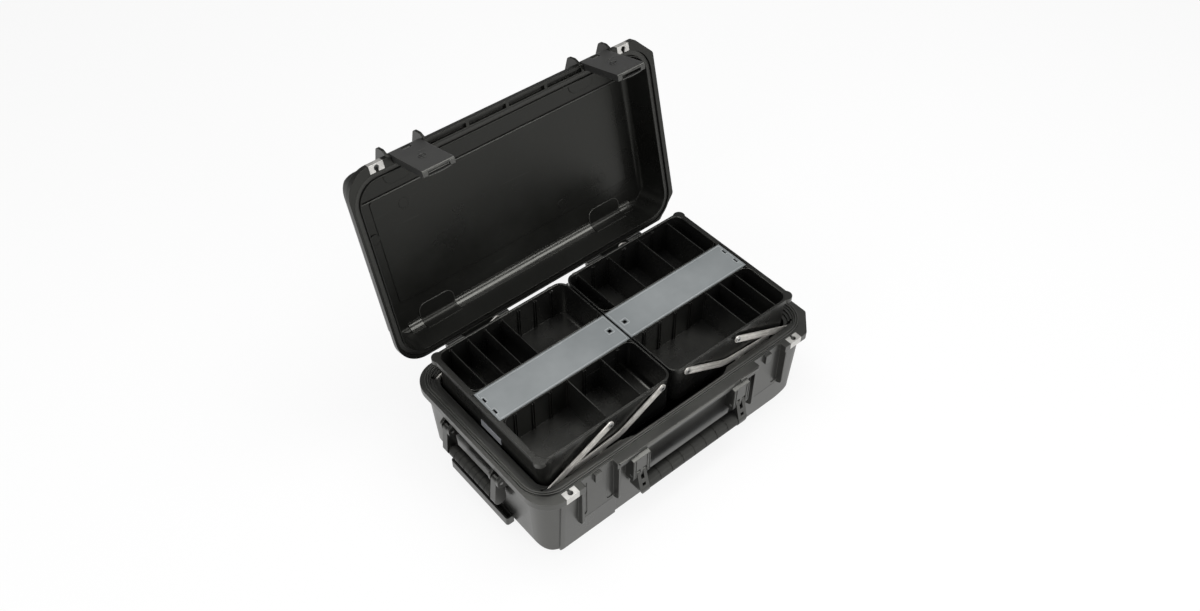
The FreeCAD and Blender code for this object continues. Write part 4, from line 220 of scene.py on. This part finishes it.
def noise(tree, where, scale, detail=2.0, roughness=0.5):
    """A noise texture on the given coordinates; its scale may be a socket or a number."""
    node = tree.nodes.new("ShaderNodeTexNoise")
    node.inputs["Detail"].default_value = detail
    node.inputs["Roughness"].default_value = roughness
    link(tree, where, node.inputs["Vector"])
    if hasattr(scale, "is_linked"):
        link(tree, scale, node.inputs["Scale"])
    else:
        node.inputs["Scale"].default_value = scale
    return node.outputs[0]


print("group helpers ready")

# %% Mould grain: the fine etched texture of a plastic part
COARSE_SIZE = 0.31
grain_group, start, end = effect_group(
    "mould_grain",
    [("Grain Scale", 900.0), ("Cloud Scale", 7.0), ("Coarse Share", 0.35)],
    ["Height", "Cloud"],
)
where = grain_group.nodes.new("ShaderNodeTexCoord").outputs["Object"]
fine = noise(grain_group, where, start.outputs["Grain Scale"], 2.0, 0.6)
coarse_scale = maths(grain_group, "MULTIPLY", start.outputs["Grain Scale"], COARSE_SIZE)
coarse = noise(grain_group, where, coarse_scale, 1.0)
heavy = maths(grain_group, "MULTIPLY", coarse, start.outputs["Coarse Share"])
link(grain_group, maths(grain_group, "ADD", fine, heavy), end.inputs["Height"])
cloud = noise(grain_group, where, start.outputs["Cloud Scale"], 4.0, 0.62)
link(grain_group, cloud, end.inputs["Cloud"])
print("effect", grain_group.name)

# %% Dust and rub marks: pale specks, and faint long scuffs
PATCH_SCALE, SPECK_SCALE = 24.0, 620.0
PATCH_START, SPECK_START, SCUFF_START = 0.52, 0.62, 0.66
DUST_GAIN, SCUFF_GAIN = 24.0, 3.0
wear_group, start, end = effect_group("dust_and_rubs", [("Dust", 0.4), ("Rubs", 0.3)], ["Mask"])
where = wear_group.nodes.new("ShaderNodeTexCoord").outputs["Object"]
patches = maths(wear_group, "SUBTRACT", noise(wear_group, where, PATCH_SCALE, 5.0, 0.7), PATCH_START, True)
specks = maths(wear_group, "SUBTRACT", noise(wear_group, where, SPECK_SCALE, 1.0), SPECK_START, True)
dust = maths(wear_group, "MULTIPLY", maths(wear_group, "MULTIPLY", patches, specks), DUST_GAIN)
stretch = wear_group.nodes.new("ShaderNodeMapping")
stretch.inputs["Rotation"].default_value = (0.3, 0.5, 0.9)
stretch.inputs["Scale"].default_value = (9, 160, 160)
link(wear_group, where, stretch.inputs["Vector"])
scuffs = maths(wear_group, "SUBTRACT", noise(wear_group, stretch.outputs[0], 1.0, 3.0), SCUFF_START, True)
rubs = maths(wear_group, "MULTIPLY", scuffs, SCUFF_GAIN)
both = maths(
    wear_group, "ADD",
    maths(wear_group, "MULTIPLY", dust, start.outputs["Dust"]),
    maths(wear_group, "MULTIPLY", rubs, start.outputs["Rubs"]),
    True,
)
link(wear_group, both, end.inputs["Mask"])
print("effect", wear_group.name)


# %% [markdown]
# ## Plastics
#
# Nearly all of the case is black polypropylene. One black would look like a silhouette,
# so each family gets its own tone and shine: the outer shells are grained and satin,
# the trays are smoother and blacker, the latches and handles are a denser, slightly
# shinier plastic. A Bevel node rounds the edges for the light alone, which costs no
# faces and catches the thin bright lines that real moulded edges show.

# %% Recipe for one plastic
SHINE_TINT = (1.0, 1.0, 0.93, 1)
GREY_DUST = (0.16, 0.155, 0.15)
PALE_DUST = (0.5, 0.5, 0.5)
GRAIN_DEPTH = 0.0002


def blended(tree, low, high, share):
    """A colour between two, by a share socket."""
    node = tree.nodes.new("ShaderNodeMix")
    node.data_type = "RGBA"
    for socket, colour in ((node.inputs[6], low), (node.inputs[7], high)):
        if hasattr(colour, "is_linked"):
            link(tree, colour, socket)
        else:
            socket.default_value = (*colour, 1)
    link(tree, share, node.inputs[0])
    return node.outputs[2]


def ranged(tree, value, low, high):
    """Stretch the useful middle of a noise value to a range."""
    node = tree.nodes.new("ShaderNodeMapRange")
    for name, number in (("From Min", 0.3), ("From Max", 0.7), ("To Min", low), ("To Max", high)):
        node.inputs[name].default_value = number
    link(tree, value, node.inputs["Value"])
    return node.outputs[0]


def rounded_bump(tree, height, strength, distance, edge):
    """Grain on a surface whose sharp edges are rounded for the light."""
    round_edges = tree.nodes.new("ShaderNodeBevel")
    round_edges.samples = 4
    round_edges.inputs["Radius"].default_value = edge
    bump = tree.nodes.new("ShaderNodeBump")
    bump.inputs["Strength"].default_value = strength
    bump.inputs["Distance"].default_value = distance
    link(tree, height, bump.inputs["Height"])
    link(tree, round_edges.outputs[0], bump.inputs["Normal"])
    return bump.outputs[0]


def grained(tree, scale):
    """The mould grain, at the given fineness."""
    surface = tree.nodes.new("ShaderNodeGroup")
    surface.node_tree = grain_group
    surface.inputs["Grain Scale"].default_value = scale
    return surface


def plastic(name, dark, light, rough, grain, bump, edge, shine=0.5, dust=0.3, rubs=0.2, dusty=GREY_DUST):
    """Moulded plastic: two close tones in clouds, dust and rubs over them, grain in the bump."""
    material, tree, output = shader_tree(name)
    shader = tree.nodes.new("ShaderNodeBsdfPrincipled")
    surface = grained(tree, grain)
    marks = tree.nodes.new("ShaderNodeGroup")
    marks.node_tree = wear_group
    marks.inputs["Dust"].default_value = dust
    marks.inputs["Rubs"].default_value = rubs
    tone = blended(tree, dark, light, ranged(tree, surface.outputs["Cloud"], 0, 1))
    link(tree, blended(tree, tone, dusty, marks.outputs["Mask"]), shader.inputs["Base Color"])
    sheen = ranged(tree, surface.outputs["Cloud"], rough - 0.05, rough + 0.07)
    dulled = maths(tree, "MULTIPLY", marks.outputs["Mask"], 0.25)
    link(tree, maths(tree, "ADD", sheen, dulled, True), shader.inputs["Roughness"])
    shader.inputs["Specular IOR Level"].default_value = shine
    shader.inputs["Specular Tint"].default_value = SHINE_TINT
    normal = rounded_bump(tree, surface.outputs["Height"], bump, GRAIN_DEPTH, edge)
    link(tree, normal, shader.inputs["Normal"])
    link(tree, shader.outputs[0], output.inputs["Surface"])
    return material


print("recipe ready: plastic")

# %% [markdown]
# The recipe gets one row for each plastic: its name, its darkest and its lightest tone,
# then roughness, fineness of the grain, strength of the grain, radius of the edges and
# shine, and where they differ the shares of dust and rub marks. The tones are very dark,
# because most of what the eye sees on black plastic is reflected light. The lid is duller
# than the base, and its rear round is polished.

# %% Mix the plastics and rubbers
plastic_rows = (
    ("case_plastic", (0.008, 0.008, 0.008), (0.015, 0.015, 0.0145), 0.3, 800, 0.22, 0.0012, 0.95),
    ("lid_plastic", (0.0055, 0.0056, 0.005), (0.0095, 0.0097, 0.0088), 0.3, 800, 0.16, 0.0012, 0.36),
    ("cove_plastic", (0.006, 0.006, 0.0056), (0.009, 0.009, 0.0084), 0.24, 800, 0.03, 0.0004, 1.0, 0.1, 0.1),
    # The flange row is a lighter copy of the black case plastic: painted highlight on the flange's front
    # band.
    ("flange_painted_highlight", (0.05, 0.05, 0.047), (0.075, 0.075, 0.07), 0.34, 800, 0.2, 0.0003, 0.9),
    # The ridge row is a lighter copy of the black plastic: painted highlight on fine beads and outlines.
    ("ridge_plastic_painted_highlight", (0.03, 0.03, 0.028), (0.07, 0.07, 0.066), 0.3, 1500, 0.5, 0.0003, 0.9),
    ("black_plastic", (0.007, 0.007, 0.007), (0.012, 0.012, 0.0118), 0.32, 900, 0.2, 0.0009, 0.8),
    ("latch_plastic", (0.02, 0.02, 0.02), (0.03, 0.03, 0.029), 0.34, 900, 0.25, 0.0008, 0.8),
    ("tray_plastic", (0.005, 0.005, 0.005), (0.0085, 0.0085, 0.008), 0.27, 1100, 0.12, 0.0007, 0.8),
    ("grip_rubber", (0.013, 0.013, 0.0125), (0.02, 0.02, 0.019), 0.56, 600, 0.35, 0.001, 0.42),
    ("seal_rubber", (0.022, 0.022, 0.021), (0.032, 0.032, 0.03), 0.5, 900, 0.2, 0.0006, 0.5),
    ("tyre_rubber", (0.013, 0.013, 0.013), (0.024, 0.023, 0.022), 0.66, 500, 0.6, 0.001, 0.3, 0.9),
)
finishes = {row[0]: plastic(*row) for row in plastic_rows}
finishes["tab_plastic"] = plastic(
    "tab_plastic", (0.3, 0.31, 0.33), (0.4, 0.41, 0.43), 0.35, 900, 0.1, 0.0004, dusty=PALE_DUST
)
print("plastics", sorted(finishes))


# %% [markdown]
# ## Metals
#
# The arms are zinc-plated steel strip: pale and warm, with a soft brushed shine and the
# cloudy bloom of plating. Pins and rivets are brighter and plainer. The lock plates at
# the front corners are stainless steel, and the sleeves of the pull handle are drawn
# aluminium. A picture of brushed metal could be wrapped round each piece. Stretched
# noise gives the same fine lines and needs no picture.

# %% Recipe for one metal
LINE_STRETCH = (6, 90, 90)
LINE_STRENGTH, LINE_DEPTH = 0.12, 0.0001


def metal(name, dark, light, rough, edge, metallic=1.0):
    """Plated or drawn metal: clouds in tone and shine, and fine lines along one way."""
    material, tree, output = shader_tree(name)
    shader = tree.nodes.new("ShaderNodeBsdfPrincipled")
    shader.inputs["Metallic"].default_value = metallic
    where = tree.nodes.new("ShaderNodeTexCoord").outputs["Object"]
    brushed = tree.nodes.new("ShaderNodeMapping")
    brushed.inputs["Scale"].default_value = LINE_STRETCH
    link(tree, where, brushed.inputs["Vector"])
    lines = noise(tree, brushed.outputs[0], 14.0, 3.0)
    bloom = noise(tree, where, 90.0, 4.0, 0.65)
    link(tree, blended(tree, dark, light, ranged(tree, bloom, 0, 1)), shader.inputs["Base Color"])
    average = maths(tree, "MULTIPLY", maths(tree, "ADD", lines, bloom), 0.5)
    link(tree, ranged(tree, average, rough - 0.07, rough + 0.09), shader.inputs["Roughness"])
    normal = rounded_bump(tree, lines, LINE_STRENGTH, LINE_DEPTH, edge)
    link(tree, normal, shader.inputs["Normal"])
    link(tree, shader.outputs[0], output.inputs["Surface"])
    return material


metal_rows = (
    ("arm_steel", (0.58, 0.56, 0.52), (0.76, 0.74, 0.7), 0.4, 0.0005, 0.6),
    ("pin_steel", (0.42, 0.42, 0.41), (0.6, 0.6, 0.59), 0.3, 0.0004),
    ("plate_steel", (0.5, 0.49, 0.47), (0.66, 0.65, 0.62), 0.34, 0.0005, 0.75),
    ("sleeve_aluminium", (0.5, 0.5, 0.51), (0.66, 0.66, 0.67), 0.34, 0.0005),
)
finishes.update({row[0]: metal(*row) for row in metal_rows})
print("metals", [row[0] for row in metal_rows])


# %% [markdown]
# ## Clear covers
#
# The two strips over the middle bins are frosted polypropylene: what lies right below
# them shows through as soft grey shapes. Real frosting could be rough glass, which is
# slow and noisy at this thickness. Making a pale grained plastic partly see-through
# gives the same look and stays quick.

# %% Mix the frosted plastic
material, tree, output = shader_tree("cover_plastic")
shader = tree.nodes.new("ShaderNodeBsdfPrincipled")
surface = grained(tree, 700)
clouds = surface.outputs["Cloud"]
frost = blended(tree, (0.26, 0.28, 0.285), (0.32, 0.34, 0.345), ranged(tree, clouds, 0, 1))
link(tree, frost, shader.inputs["Base Color"])
link(tree, ranged(tree, clouds, 0.3, 0.42), shader.inputs["Roughness"])
link(tree, ranged(tree, clouds, 0.60, 0.70), shader.inputs["Alpha"])
normal = rounded_bump(tree, surface.outputs["Height"], 0.15, GRAIN_DEPTH, 0.0004)
link(tree, normal, shader.inputs["Normal"])
link(tree, shader.outputs[0], output.inputs["Surface"])
finishes["cover_plastic"] = material
finishes["cover_edge"] = plastic(
    "cover_edge", (0.34, 0.36, 0.365), (0.42, 0.44, 0.445), 0.34, 700, 0.1, 0.0003, dusty=PALE_DUST
)
print("finishes", len(finishes))

# %% [markdown]
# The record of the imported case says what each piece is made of. The lid shell is the one
# exception: its inside is smoother than the rest of the shells, so it has its own mix.

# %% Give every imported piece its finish
slot_of = {subpart["node"]: subpart["material_slot"] for subpart in frame["record"]["subparts"]}
for name, piece in nodes.items():
    piece.data.materials.clear()
    piece.data.materials.append(finishes["lid_plastic" if name == "lid_shell" else slot_of[name]])
print("painted", len(nodes), "pieces")


# %% [markdown]
# ## Small forms of the mould
#
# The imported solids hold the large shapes. A mould also leaves beads, marks and ribs that
# are a millimetre or two across. They could be painted as bumps, but a bump has no edge
# when it is seen from the side. Real thin pieces catch light on one edge and throw a
# shadow on the other, so they are modelled, each from a primitive that is stretched,
# bevelled or spun into its form. From here on, lengths in the text are millimetres.
#
# Pieces of the lid are drawn on the shut lid, where its walls are upright and its ceiling
# is level, and are then turned back about the hinge.

# %% Measures of the case
SEAM = 142.0  # floor to the joint between base and lid
HINGE_Y, OPEN_ANGLE = 165.7, 104.25
SIDES = (("left", -1), ("right", 1))
CEILING = SEAM + 57.0
LATCH_X, LEVER_FRONT = 171.0, -169.7
BRACKET_X, FLANGE_FRONT = 101.0, -169.0
print("seam at", SEAM, "mm")


# %% Helpers: a bar, a disc, a bead round an oblong and a sheet that is spun
def sized(piece, name, scale=(1, 1, 1)):
    """Name a new primitive and settle its place and size in the mesh."""
    piece.name = name
    piece.scale = scale
    bpy.ops.object.transform_apply(location=True, rotation=True, scale=True)
    return piece


def edges_rounded(piece, radius, steps):
    """Bevel all the edges of a piece, by a radius in millimetres."""
    bpy.ops.object.mode_set(mode="EDIT")
    bpy.ops.mesh.select_all(action="SELECT")
    bpy.ops.mesh.bevel(offset=millimetres(radius), segments=steps, affect="EDGES")
    bpy.ops.object.mode_set(mode="OBJECT")
    return piece


def bar(name, low, high, rounding=0.0, steps=2):
    """A box between two corners, with its edges rounded."""
    bpy.ops.object.select_all(action="DESELECT")
    middle = [(a + b) / 2000 for a, b in zip(low, high)]
    bpy.ops.mesh.primitive_cube_add(size=1, location=middle)
    piece = sized(bpy.context.active_object, name, [abs(b - a) / 1000 for a, b in zip(low, high)])
    return edges_rounded(piece, rounding, steps) if rounding else piece


def disc(name, place, radius, depth, edge, vertices, turn=(0, 0, 0)):
    """A thin round plate with a small edge."""
    bpy.ops.object.select_all(action="DESELECT")
    bpy.ops.mesh.primitive_cylinder_add(
        vertices=vertices, radius=millimetres(radius), depth=millimetres(depth),
        location=millimetres(*place), rotation=turn,
    )
    return edges_rounded(sized(bpy.context.active_object, name), edge, 1)


def bead_loop(name, middle, half_x, half_y, corner, height, thickness):
    """A round bead along an oblong: its outline is cut from a plane, then given thickness."""
    bpy.ops.object.select_all(action="DESELECT")
    bpy.ops.mesh.primitive_plane_add(size=1, location=millimetres(*middle, height))
    sized(bpy.context.active_object, name, (half_x / 500, half_y / 500, 1))
    bpy.ops.object.mode_set(mode="EDIT")
    bpy.ops.mesh.select_all(action="SELECT")
    bpy.ops.mesh.bevel(offset=millimetres(corner), segments=8, affect="VERTICES")
    bpy.ops.mesh.delete(type="ONLY_FACE")
    bpy.ops.object.mode_set(mode="OBJECT")
    bpy.ops.object.convert(target="CURVE")
    outline = bpy.context.active_object.data
    outline.bevel_depth = millimetres(thickness / 2)
    outline.bevel_resolution = 1
    bpy.ops.object.convert(target="MESH")
    return bpy.context.active_object


def spun_sheet(name, width, depth, place, steps, degrees, centre, axis):
    """A small flat sheet that is swept round an axis into a solid curve."""
    bpy.ops.object.select_all(action="DESELECT")
    bpy.ops.mesh.primitive_plane_add(size=1, location=millimetres(*place))
    piece = sized(bpy.context.active_object, name, (width / 1000, depth / 1000, 1))
    bpy.ops.object.mode_set(mode="EDIT")
    bpy.ops.mesh.select_all(action="SELECT")
    bpy.ops.mesh.spin(steps=steps, angle=math.radians(degrees), center=millimetres(*centre), axis=axis)
    bpy.ops.mesh.select_all(action="SELECT")
    bpy.ops.mesh.normals_make_consistent(inside=False)
    bpy.ops.object.mode_set(mode="OBJECT")
    return piece


print("modelling helpers ready")


# %% Helpers: join, dress and open
def joined(name, pieces):
    """Several meshes as one piece."""
    bpy.ops.object.select_all(action="DESELECT")
    for piece in pieces:
        piece.select_set(True)
    bpy.context.view_layer.objects.active = pieces[0]
    bpy.ops.object.join()
    pieces[0].name = name
    return pieces[0]


def dressed(piece, body, finish):
    """Smooth the round faces, give the finish and let the piece ride on its body."""
    bpy.ops.object.select_all(action="DESELECT")
    piece.select_set(True)
    bpy.context.view_layer.objects.active = piece
    bpy.ops.object.shade_smooth_by_angle(angle=math.radians(40))
    piece.data.materials.clear()
    piece.data.materials.append(finishes[finish])
    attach(piece, body)
    return piece


def swung_open(piece):
    """Turn a piece drawn on the shut lid back about the hinge."""
    hinge = Matrix.Translation(millimetres(0, HINGE_Y, SEAM))
    piece.data.transform(hinge @ Matrix.Rotation(math.radians(-OPEN_ANGLE), 4, "X") @ hinge.inverted())
    return piece


print("dressing helpers ready")

# %% [markdown]
# ## Sealing ridge
#
# The rubber seal in the lid presses on a low ridge round the mouth of the base. The top
# of the real ridge has two fine lines with a knurled look, which hold the rubber. Each
# line is one long bead, and its finish breaks up into light and dark specks. The finish is
# also lighter than the black ridge under it: a painted highlight that makes the lines read bright.

# %% Run two fine lines round the ridge
RIDGE_X, RIDGE_Y, RIDGE_CORNER = 267.8, 151.4, 41.8
LINE_HEIGHT, LINE_THICK, LINE_OFFSET = SEAM + 3.2, 1.1, 1.9
lines = []
for offset in (-LINE_OFFSET, LINE_OFFSET):
    half_x, half_y, corner = RIDGE_X + offset, RIDGE_Y + offset, RIDGE_CORNER + offset
    lines.append(bead_loop("ridge_line", (0, 0), half_x, half_y, corner, LINE_HEIGHT, LINE_THICK))
dressed(joined("sealing_ridge_lines", lines), "base", "ridge_plastic_painted_highlight")
print("ridge lines", len(lines))

# %% [markdown]
# ## Lid ceiling
#
# Inside the lid a straight ridge runs from wall to wall, parallel to the front edge. It
# shows as a dark line with a bright one beside it, where its round top meets its shadow;
# its lighter tone adds a painted highlight to that bright line.
# Small round marks where pins pushed the moulding out of its mould stay visible too. Each
# mark is a thin disc that stands a hair proud of the ceiling.

# %% Add the ceiling ridge and the pin marks
RIDGE_HALF, RIDGE_FRONT, RIDGE_BACK = 253, -91.4, -89.0
PIN_MARKS = ((-176, -64), (-236, -30), (178, 62), (92, 70))
PIN_RADIUS, PIN_DEPTH, PIN_EDGE, PIN_HEIGHT = 8.5, 0.6, 0.2, SEAM + 55.5
ridge = bar(
    "lid_ceiling_ridge",
    (-RIDGE_HALF, RIDGE_FRONT, CEILING - 2.6), (RIDGE_HALF, RIDGE_BACK, CEILING + 0.2), 0.9, 3,
)
dressed(swung_open(ridge), "lid", "ridge_plastic_painted_highlight")
marks = [disc("mark", (x, y, PIN_HEIGHT), PIN_RADIUS, PIN_DEPTH, PIN_EDGE, 32) for x, y in PIN_MARKS]
dressed(swung_open(joined("lid_pin_marks", marks)), "lid", "lid_plastic")
print("pin marks", len(marks))

# %% [markdown]
# The corner between the ceiling and the back wall is a wide hollow round, polished by the
# mould, and it carries the long highlight of the lid. A hollow round can be carved with a
# boolean, or made by turning one narrow strip through a right angle about the middle of
# the curve. Turning gives even faces and a true curve, so the strip is spun. Two raised
# outlines mark the bosses over the wheels.

# %% Round the rear corner of the lid and outline its bosses
COVE_ROUND, COVE_THICK, COVE_HALF = 13.0, 2.0, 226.0
BACK_WALL = 141.5  # inner face of the back wall where the round starts
BOSS_Y, BOSS_HALF_X, BOSS_HALF_Y, BOSS_CORNER = 125, 32, 16, 13
cove = spun_sheet(
    "lid_cove", 2 * COVE_HALF, COVE_THICK, (0, BACK_WALL + COVE_THICK / 2, CEILING - COVE_ROUND),
    12, 90, (0, BACK_WALL - COVE_ROUND, CEILING - COVE_ROUND), (-1, 0, 0),
)
dressed(swung_open(cove), "lid", "cove_plastic")
# The outlines take the lighter ridge tone, a painted highlight on their edges.
outlines = [
    bead_loop("outline", (sign * LATCH_X, BOSS_Y), BOSS_HALF_X, BOSS_HALF_Y, BOSS_CORNER, CEILING - 1.1, 1.3)
    for side, sign in SIDES
]
dressed(swung_open(joined("lid_boss_outlines", outlines)), "lid", "ridge_plastic_painted_highlight")
print("cove faces", len(cove.data.polygons))

# %% [markdown]
# ## Latch levers
#
# Each lever is a broad slab with a round raised mark where a thumb presses, and a wide
# dark window in its end, with a lip below that hooks under the base. The dark inside of the
# window is painted shade: a thin black plate sits in it. The mark is open on one side, so it
# is a small square spun through most of a turn. The lip sags in a shallow wave, which nine short bars follow.

# %% Recipe for the thumb mark of a lever
MARK_Z, MARK_RADIUS, MARK_WIDTH = SEAM - 40, 5.8, 1.3


def thumb_mark(side, middle):
    """An open ring, a short nib inside it and a groove above it, raised on the lever's face."""
    front = LEVER_FRONT
    ring = spun_sheet(
        "ring", MARK_WIDTH, MARK_WIDTH, (middle + MARK_RADIUS, front, MARK_Z),
        28, 290, (middle, front, MARK_Z), (0, 1, 0),
    )
    nib = bar(
        "nib", (middle - 1.2, front - 0.5, SEAM - 42), (middle + 1.2, front + 0.3, SEAM - 36), 0.3
    )
    groove = bar(
        "groove", (middle + 3, front - 0.35, SEAM - 24), (middle + 15, front + 0.3, SEAM - 22.8), 0.2
    )
    dressed(swung_open(joined(side + "_thumb_mark", [ring, nib, groove])), side + "_latch", "latch_plastic")


print("recipe ready: thumb mark")

# %% Recipe for the window of a lever
LIP_STEPS, LIP_STEP, LIP_SAG = 4, 4, 1.6
LIP_FRONT, LIP_BACK, LIP_LOW, LIP_HIGH = -160.2, -158.9, SEAM - 81.6, SEAM - 79.5
SHADE_HALF, SHADE_FRONT, SHADE_BACK = 17.4, -168.4, -165.2


def lever_window(side, middle):
    """The wavy lip below the window, and a black plate inside the window that paints its shadow."""
    lip_parts = []
    for step in range(-LIP_STEPS, LIP_STEPS + 1):
        x = middle + step * LIP_STEP
        sag = LIP_SAG * math.cos(step / LIP_STEPS * math.pi / 2)
        lip_parts.append(
            bar("lip", (x - LIP_STEP / 2, LIP_FRONT, LIP_LOW - sag), (x + LIP_STEP / 2, LIP_BACK, LIP_HIGH))
        )
    dressed(swung_open(joined(side + "_latch_lip", lip_parts)), side + "_latch", "latch_plastic")
    # Painted shadow: a thin black plate inside the window stands for the shade there.
    shade = bar(
        side + "_painted_window_shadow",
        (middle - SHADE_HALF, SHADE_FRONT, SEAM - 81.15),
        (middle + SHADE_HALF, SHADE_BACK, SEAM - 80.6), 0.1,
    )
    dressed(swung_open(shade), side + "_latch", "black_plastic")


print("recipe ready: window")

# %% Dress both levers
for side, sign in SIDES:
    thumb_mark(side, sign * LATCH_X)
    lever_window(side, sign * LATCH_X)
print("levers dressed", len(SIDES))

# %% [markdown]
# ## Trays
#
# Every row of bins has a raised bead on top of its walls, which stiffens the thin
# plastic. One bead round each row is enough: the loose dividers have none.

# %% Bead the rims of the trays
ROWS = ((-127.5, -33.3), (29.3, 127.5))
TRAY_MIDDLE, TRAY_HALF, BEAD_INSET, BEAD_CORNER = 122.5, 121, 1.2, 15
for side, sign in SIDES:
    beads = [
        bead_loop(
            "rim_bead", (sign * TRAY_MIDDLE, (low + high) / 2),
            TRAY_HALF - BEAD_INSET, (high - low) / 2 - BEAD_INSET, BEAD_CORNER, SEAM + 49.9, 1.3,
        )
        for low, high in ROWS
    ]
    dressed(joined(side + "_rim_beads", beads), side + "_lift_tray", "tray_plastic")
print("trays beaded", len(SIDES))

# %% [markdown]
# ## Arms
#
# The steel strips are pressed with two long ridges that stop them from bending, and the
# rivets at their ends are hollow, so each shows a dark eye: its shade is painted, as a thin dark
# disc on the rivet. A ridge is drawn level at the origin as a thin bar, then turned and moved
# onto the line between two points of its arm.

# %% Recipe for the ridges of the arms
ARM_LOW, ARM_HIGH, ARM_SPAN = (240.4, 128.0), (126.1, 184.0), 101.0
BEND_AHEAD, BEND_LIFT = 34.9, 14.8
STRAIGHT_FACE, CURVED_FACE = 134.5, 131.3
RIDGE_OFFSET, RIDGE_WIDTH = 2.6, 1.3


def strip_ridge(start, end, offset, face, proud):
    """A thin ridge along the line between two points of an arm's face."""
    run = Vector((end[0] - start[0], 0, end[1] - start[1]))
    low, high = offset - RIDGE_WIDTH / 2, offset + RIDGE_WIDTH / 2
    ridge = bar("ridge", (0, -proud, low), (run.length, proud, high), 0.25, 1)
    turn = Matrix.Rotation(-math.atan2(run.z, run.x), 4, "Y")
    ridge.data.transform(Matrix.Translation(millimetres(start[0], face, start[1])) @ turn)
    return ridge


def along(start, end, share):
    """The point at a share of the way from start to end."""
    return tuple(a + (b - a) * share for a, b in zip(start, end))


def arm_ridges(side, sign):
    """Two ridges on each arm of one side, at the front wall and at the back wall."""
    low, high = (sign * ARM_LOW[0], ARM_LOW[1]), (sign * ARM_HIGH[0], ARM_HIGH[1])
    bend = (sign * (ARM_LOW[0] - ARM_SPAN - BEND_AHEAD), ARM_LOW[1] + BEND_LIFT)
    tip = (sign * (ARM_HIGH[0] - ARM_SPAN), ARM_HIGH[1])
    straight, curved = [], []
    for wall in (-1, 1):
        for offset in (-RIDGE_OFFSET, RIDGE_OFFSET):
            near, far = along(low, high, 0.36), along(low, high, 0.93)
            straight.append(strip_ridge(near, far, offset, wall * STRAIGHT_FACE, 0.45))
            near, far = along(bend, tip, 0.12), along(bend, tip, 0.88)
            curved.append(strip_ridge(near, far, offset, wall * CURVED_FACE, 0.4))
    dressed(joined(side + "_straight_arm_ridges", straight), side + "_straight_link", "arm_steel")
    dressed(joined(side + "_curved_arm_ridges", curved), side + "_curved_link", "arm_steel")


print("recipe ready: arm ridges")

# %% Press the arms and paint the shade in their rivets
EYE_RADIUS, EYE_DEPTH, EYE_EDGE = 2.1, 0.5, 0.15
FACING_THE_WALL = (math.pi / 2, 0, 0)
RIVET_FACES = ((ARM_HIGH[0], 135.85), (ARM_HIGH[0] - ARM_SPAN, 132.65))
for side, sign in SIDES:
    arm_ridges(side, sign)
    # Painted shade: a thin dark disc on each rivet stands for the shadow in its hollow.
    hole_shades = [
        disc(
            "eye", (sign * x, wall * face, ARM_HIGH[1]), EYE_RADIUS, EYE_DEPTH, EYE_EDGE, 24, FACING_THE_WALL
        )
        for wall in (-1, 1)
        for x, face in RIVET_FACES
    ]
    dressed(joined(side + "_rivet_hole_shades", hole_shades), side + "_lift_tray", "seal_rubber")
print("arms dressed", len(SIDES))

# %% [markdown]
# ## Bin covers
#
# A raised frame goes round the latch hole and the two hinge slots of each cover, and a
# low bead follows its edge. The same clear plastic looks paler there, because it is
# thicker.

# %% Frame the holes and edges of the covers
COVER_MIDDLE, COVER_Y, COVER_TOP = 122.4, -2, SEAM + 49.8
COVER_HALF_X, COVER_HALF_Y = 118.2, 28.3
LATCH_HOLE_X, HOLE_HALF = 15, 5.6
HINGE_SLOT_X, HINGE_SLOTS_Y, SLOT_HALF_X, SLOT_HALF_Y = 238, (-15, 11), 2.7, 5.6
for side, sign in SIDES:
    edge, hole = (sign * COVER_MIDDLE, COVER_Y), (sign * LATCH_HOLE_X, COVER_Y)
    frames = [
        bead_loop("edge_bead", edge, COVER_HALF_X, COVER_HALF_Y, 2, COVER_TOP, 0.9),
        bead_loop("latch_frame", hole, HOLE_HALF, HOLE_HALF, 1.2, COVER_TOP, 1.1),
    ]
    for y in HINGE_SLOTS_Y:
        slot = (sign * HINGE_SLOT_X, y)
        frames.append(bead_loop("slot_frame", slot, SLOT_HALF_X, SLOT_HALF_Y, 1, COVER_TOP, 0.9))
    dressed(joined(side + "_cover_frames", frames), side + "_cover", "cover_edge")
print("covers framed", len(SIDES))

# %% [markdown]
# ## Handle brackets and flange
#
# The carry handle hangs between moulded brackets with long upright ribs, and a narrow
# raised bar lies on the edge of the flange above each of them. Between the brackets the
# front face of the flange catches the light as one pale band. That band is painted highlight:
# a thin strip in a lighter tone of the black plastic lies on the face.

# %% Rib the brackets and face the flange
RIB_OFFSETS, RIB_HALF = (-15.2, -10.6, 10.6, 15.2), 0.8
RIB_FRONT, RIB_BACK, RIB_LOW, RIB_HIGH = -175.9, -174.4, SEAM - 53, SEAM - 14
FACE_HALF, BAR_LENGTH = 88, 38
parts = []
for side, sign in SIDES:
    for offset in RIB_OFFSETS:
        x = sign * BRACKET_X + offset
        parts.append(bar("rib", (x - RIB_HALF, RIB_FRONT, RIB_LOW), (x + RIB_HALF, RIB_BACK, RIB_HIGH), 0.35))
    near, far = sorted((sign * BRACKET_X, sign * (BRACKET_X + BAR_LENGTH)))
    parts.append(
        bar("flange_bar", (near, FLANGE_FRONT - 1.8, SEAM - 5.2), (far, FLANGE_FRONT + 0.8, SEAM - 0.4), 0.5)
    )
dressed(joined("front_bracket_ribs", parts), "base", "case_plastic")
# Painted highlight: a strip in a lighter tone stands for the light on the flange's front face.
face = bar(
    "flange_painted_highlight_band",
    (-FACE_HALF, FLANGE_FRONT - 0.6, SEAM - 8.4), (FACE_HALF, FLANGE_FRONT + 0.6, SEAM - 1.2), 0.3,
)
dressed(face, "base", "flange_painted_highlight")
print("bracket ribs and bars", len(parts))
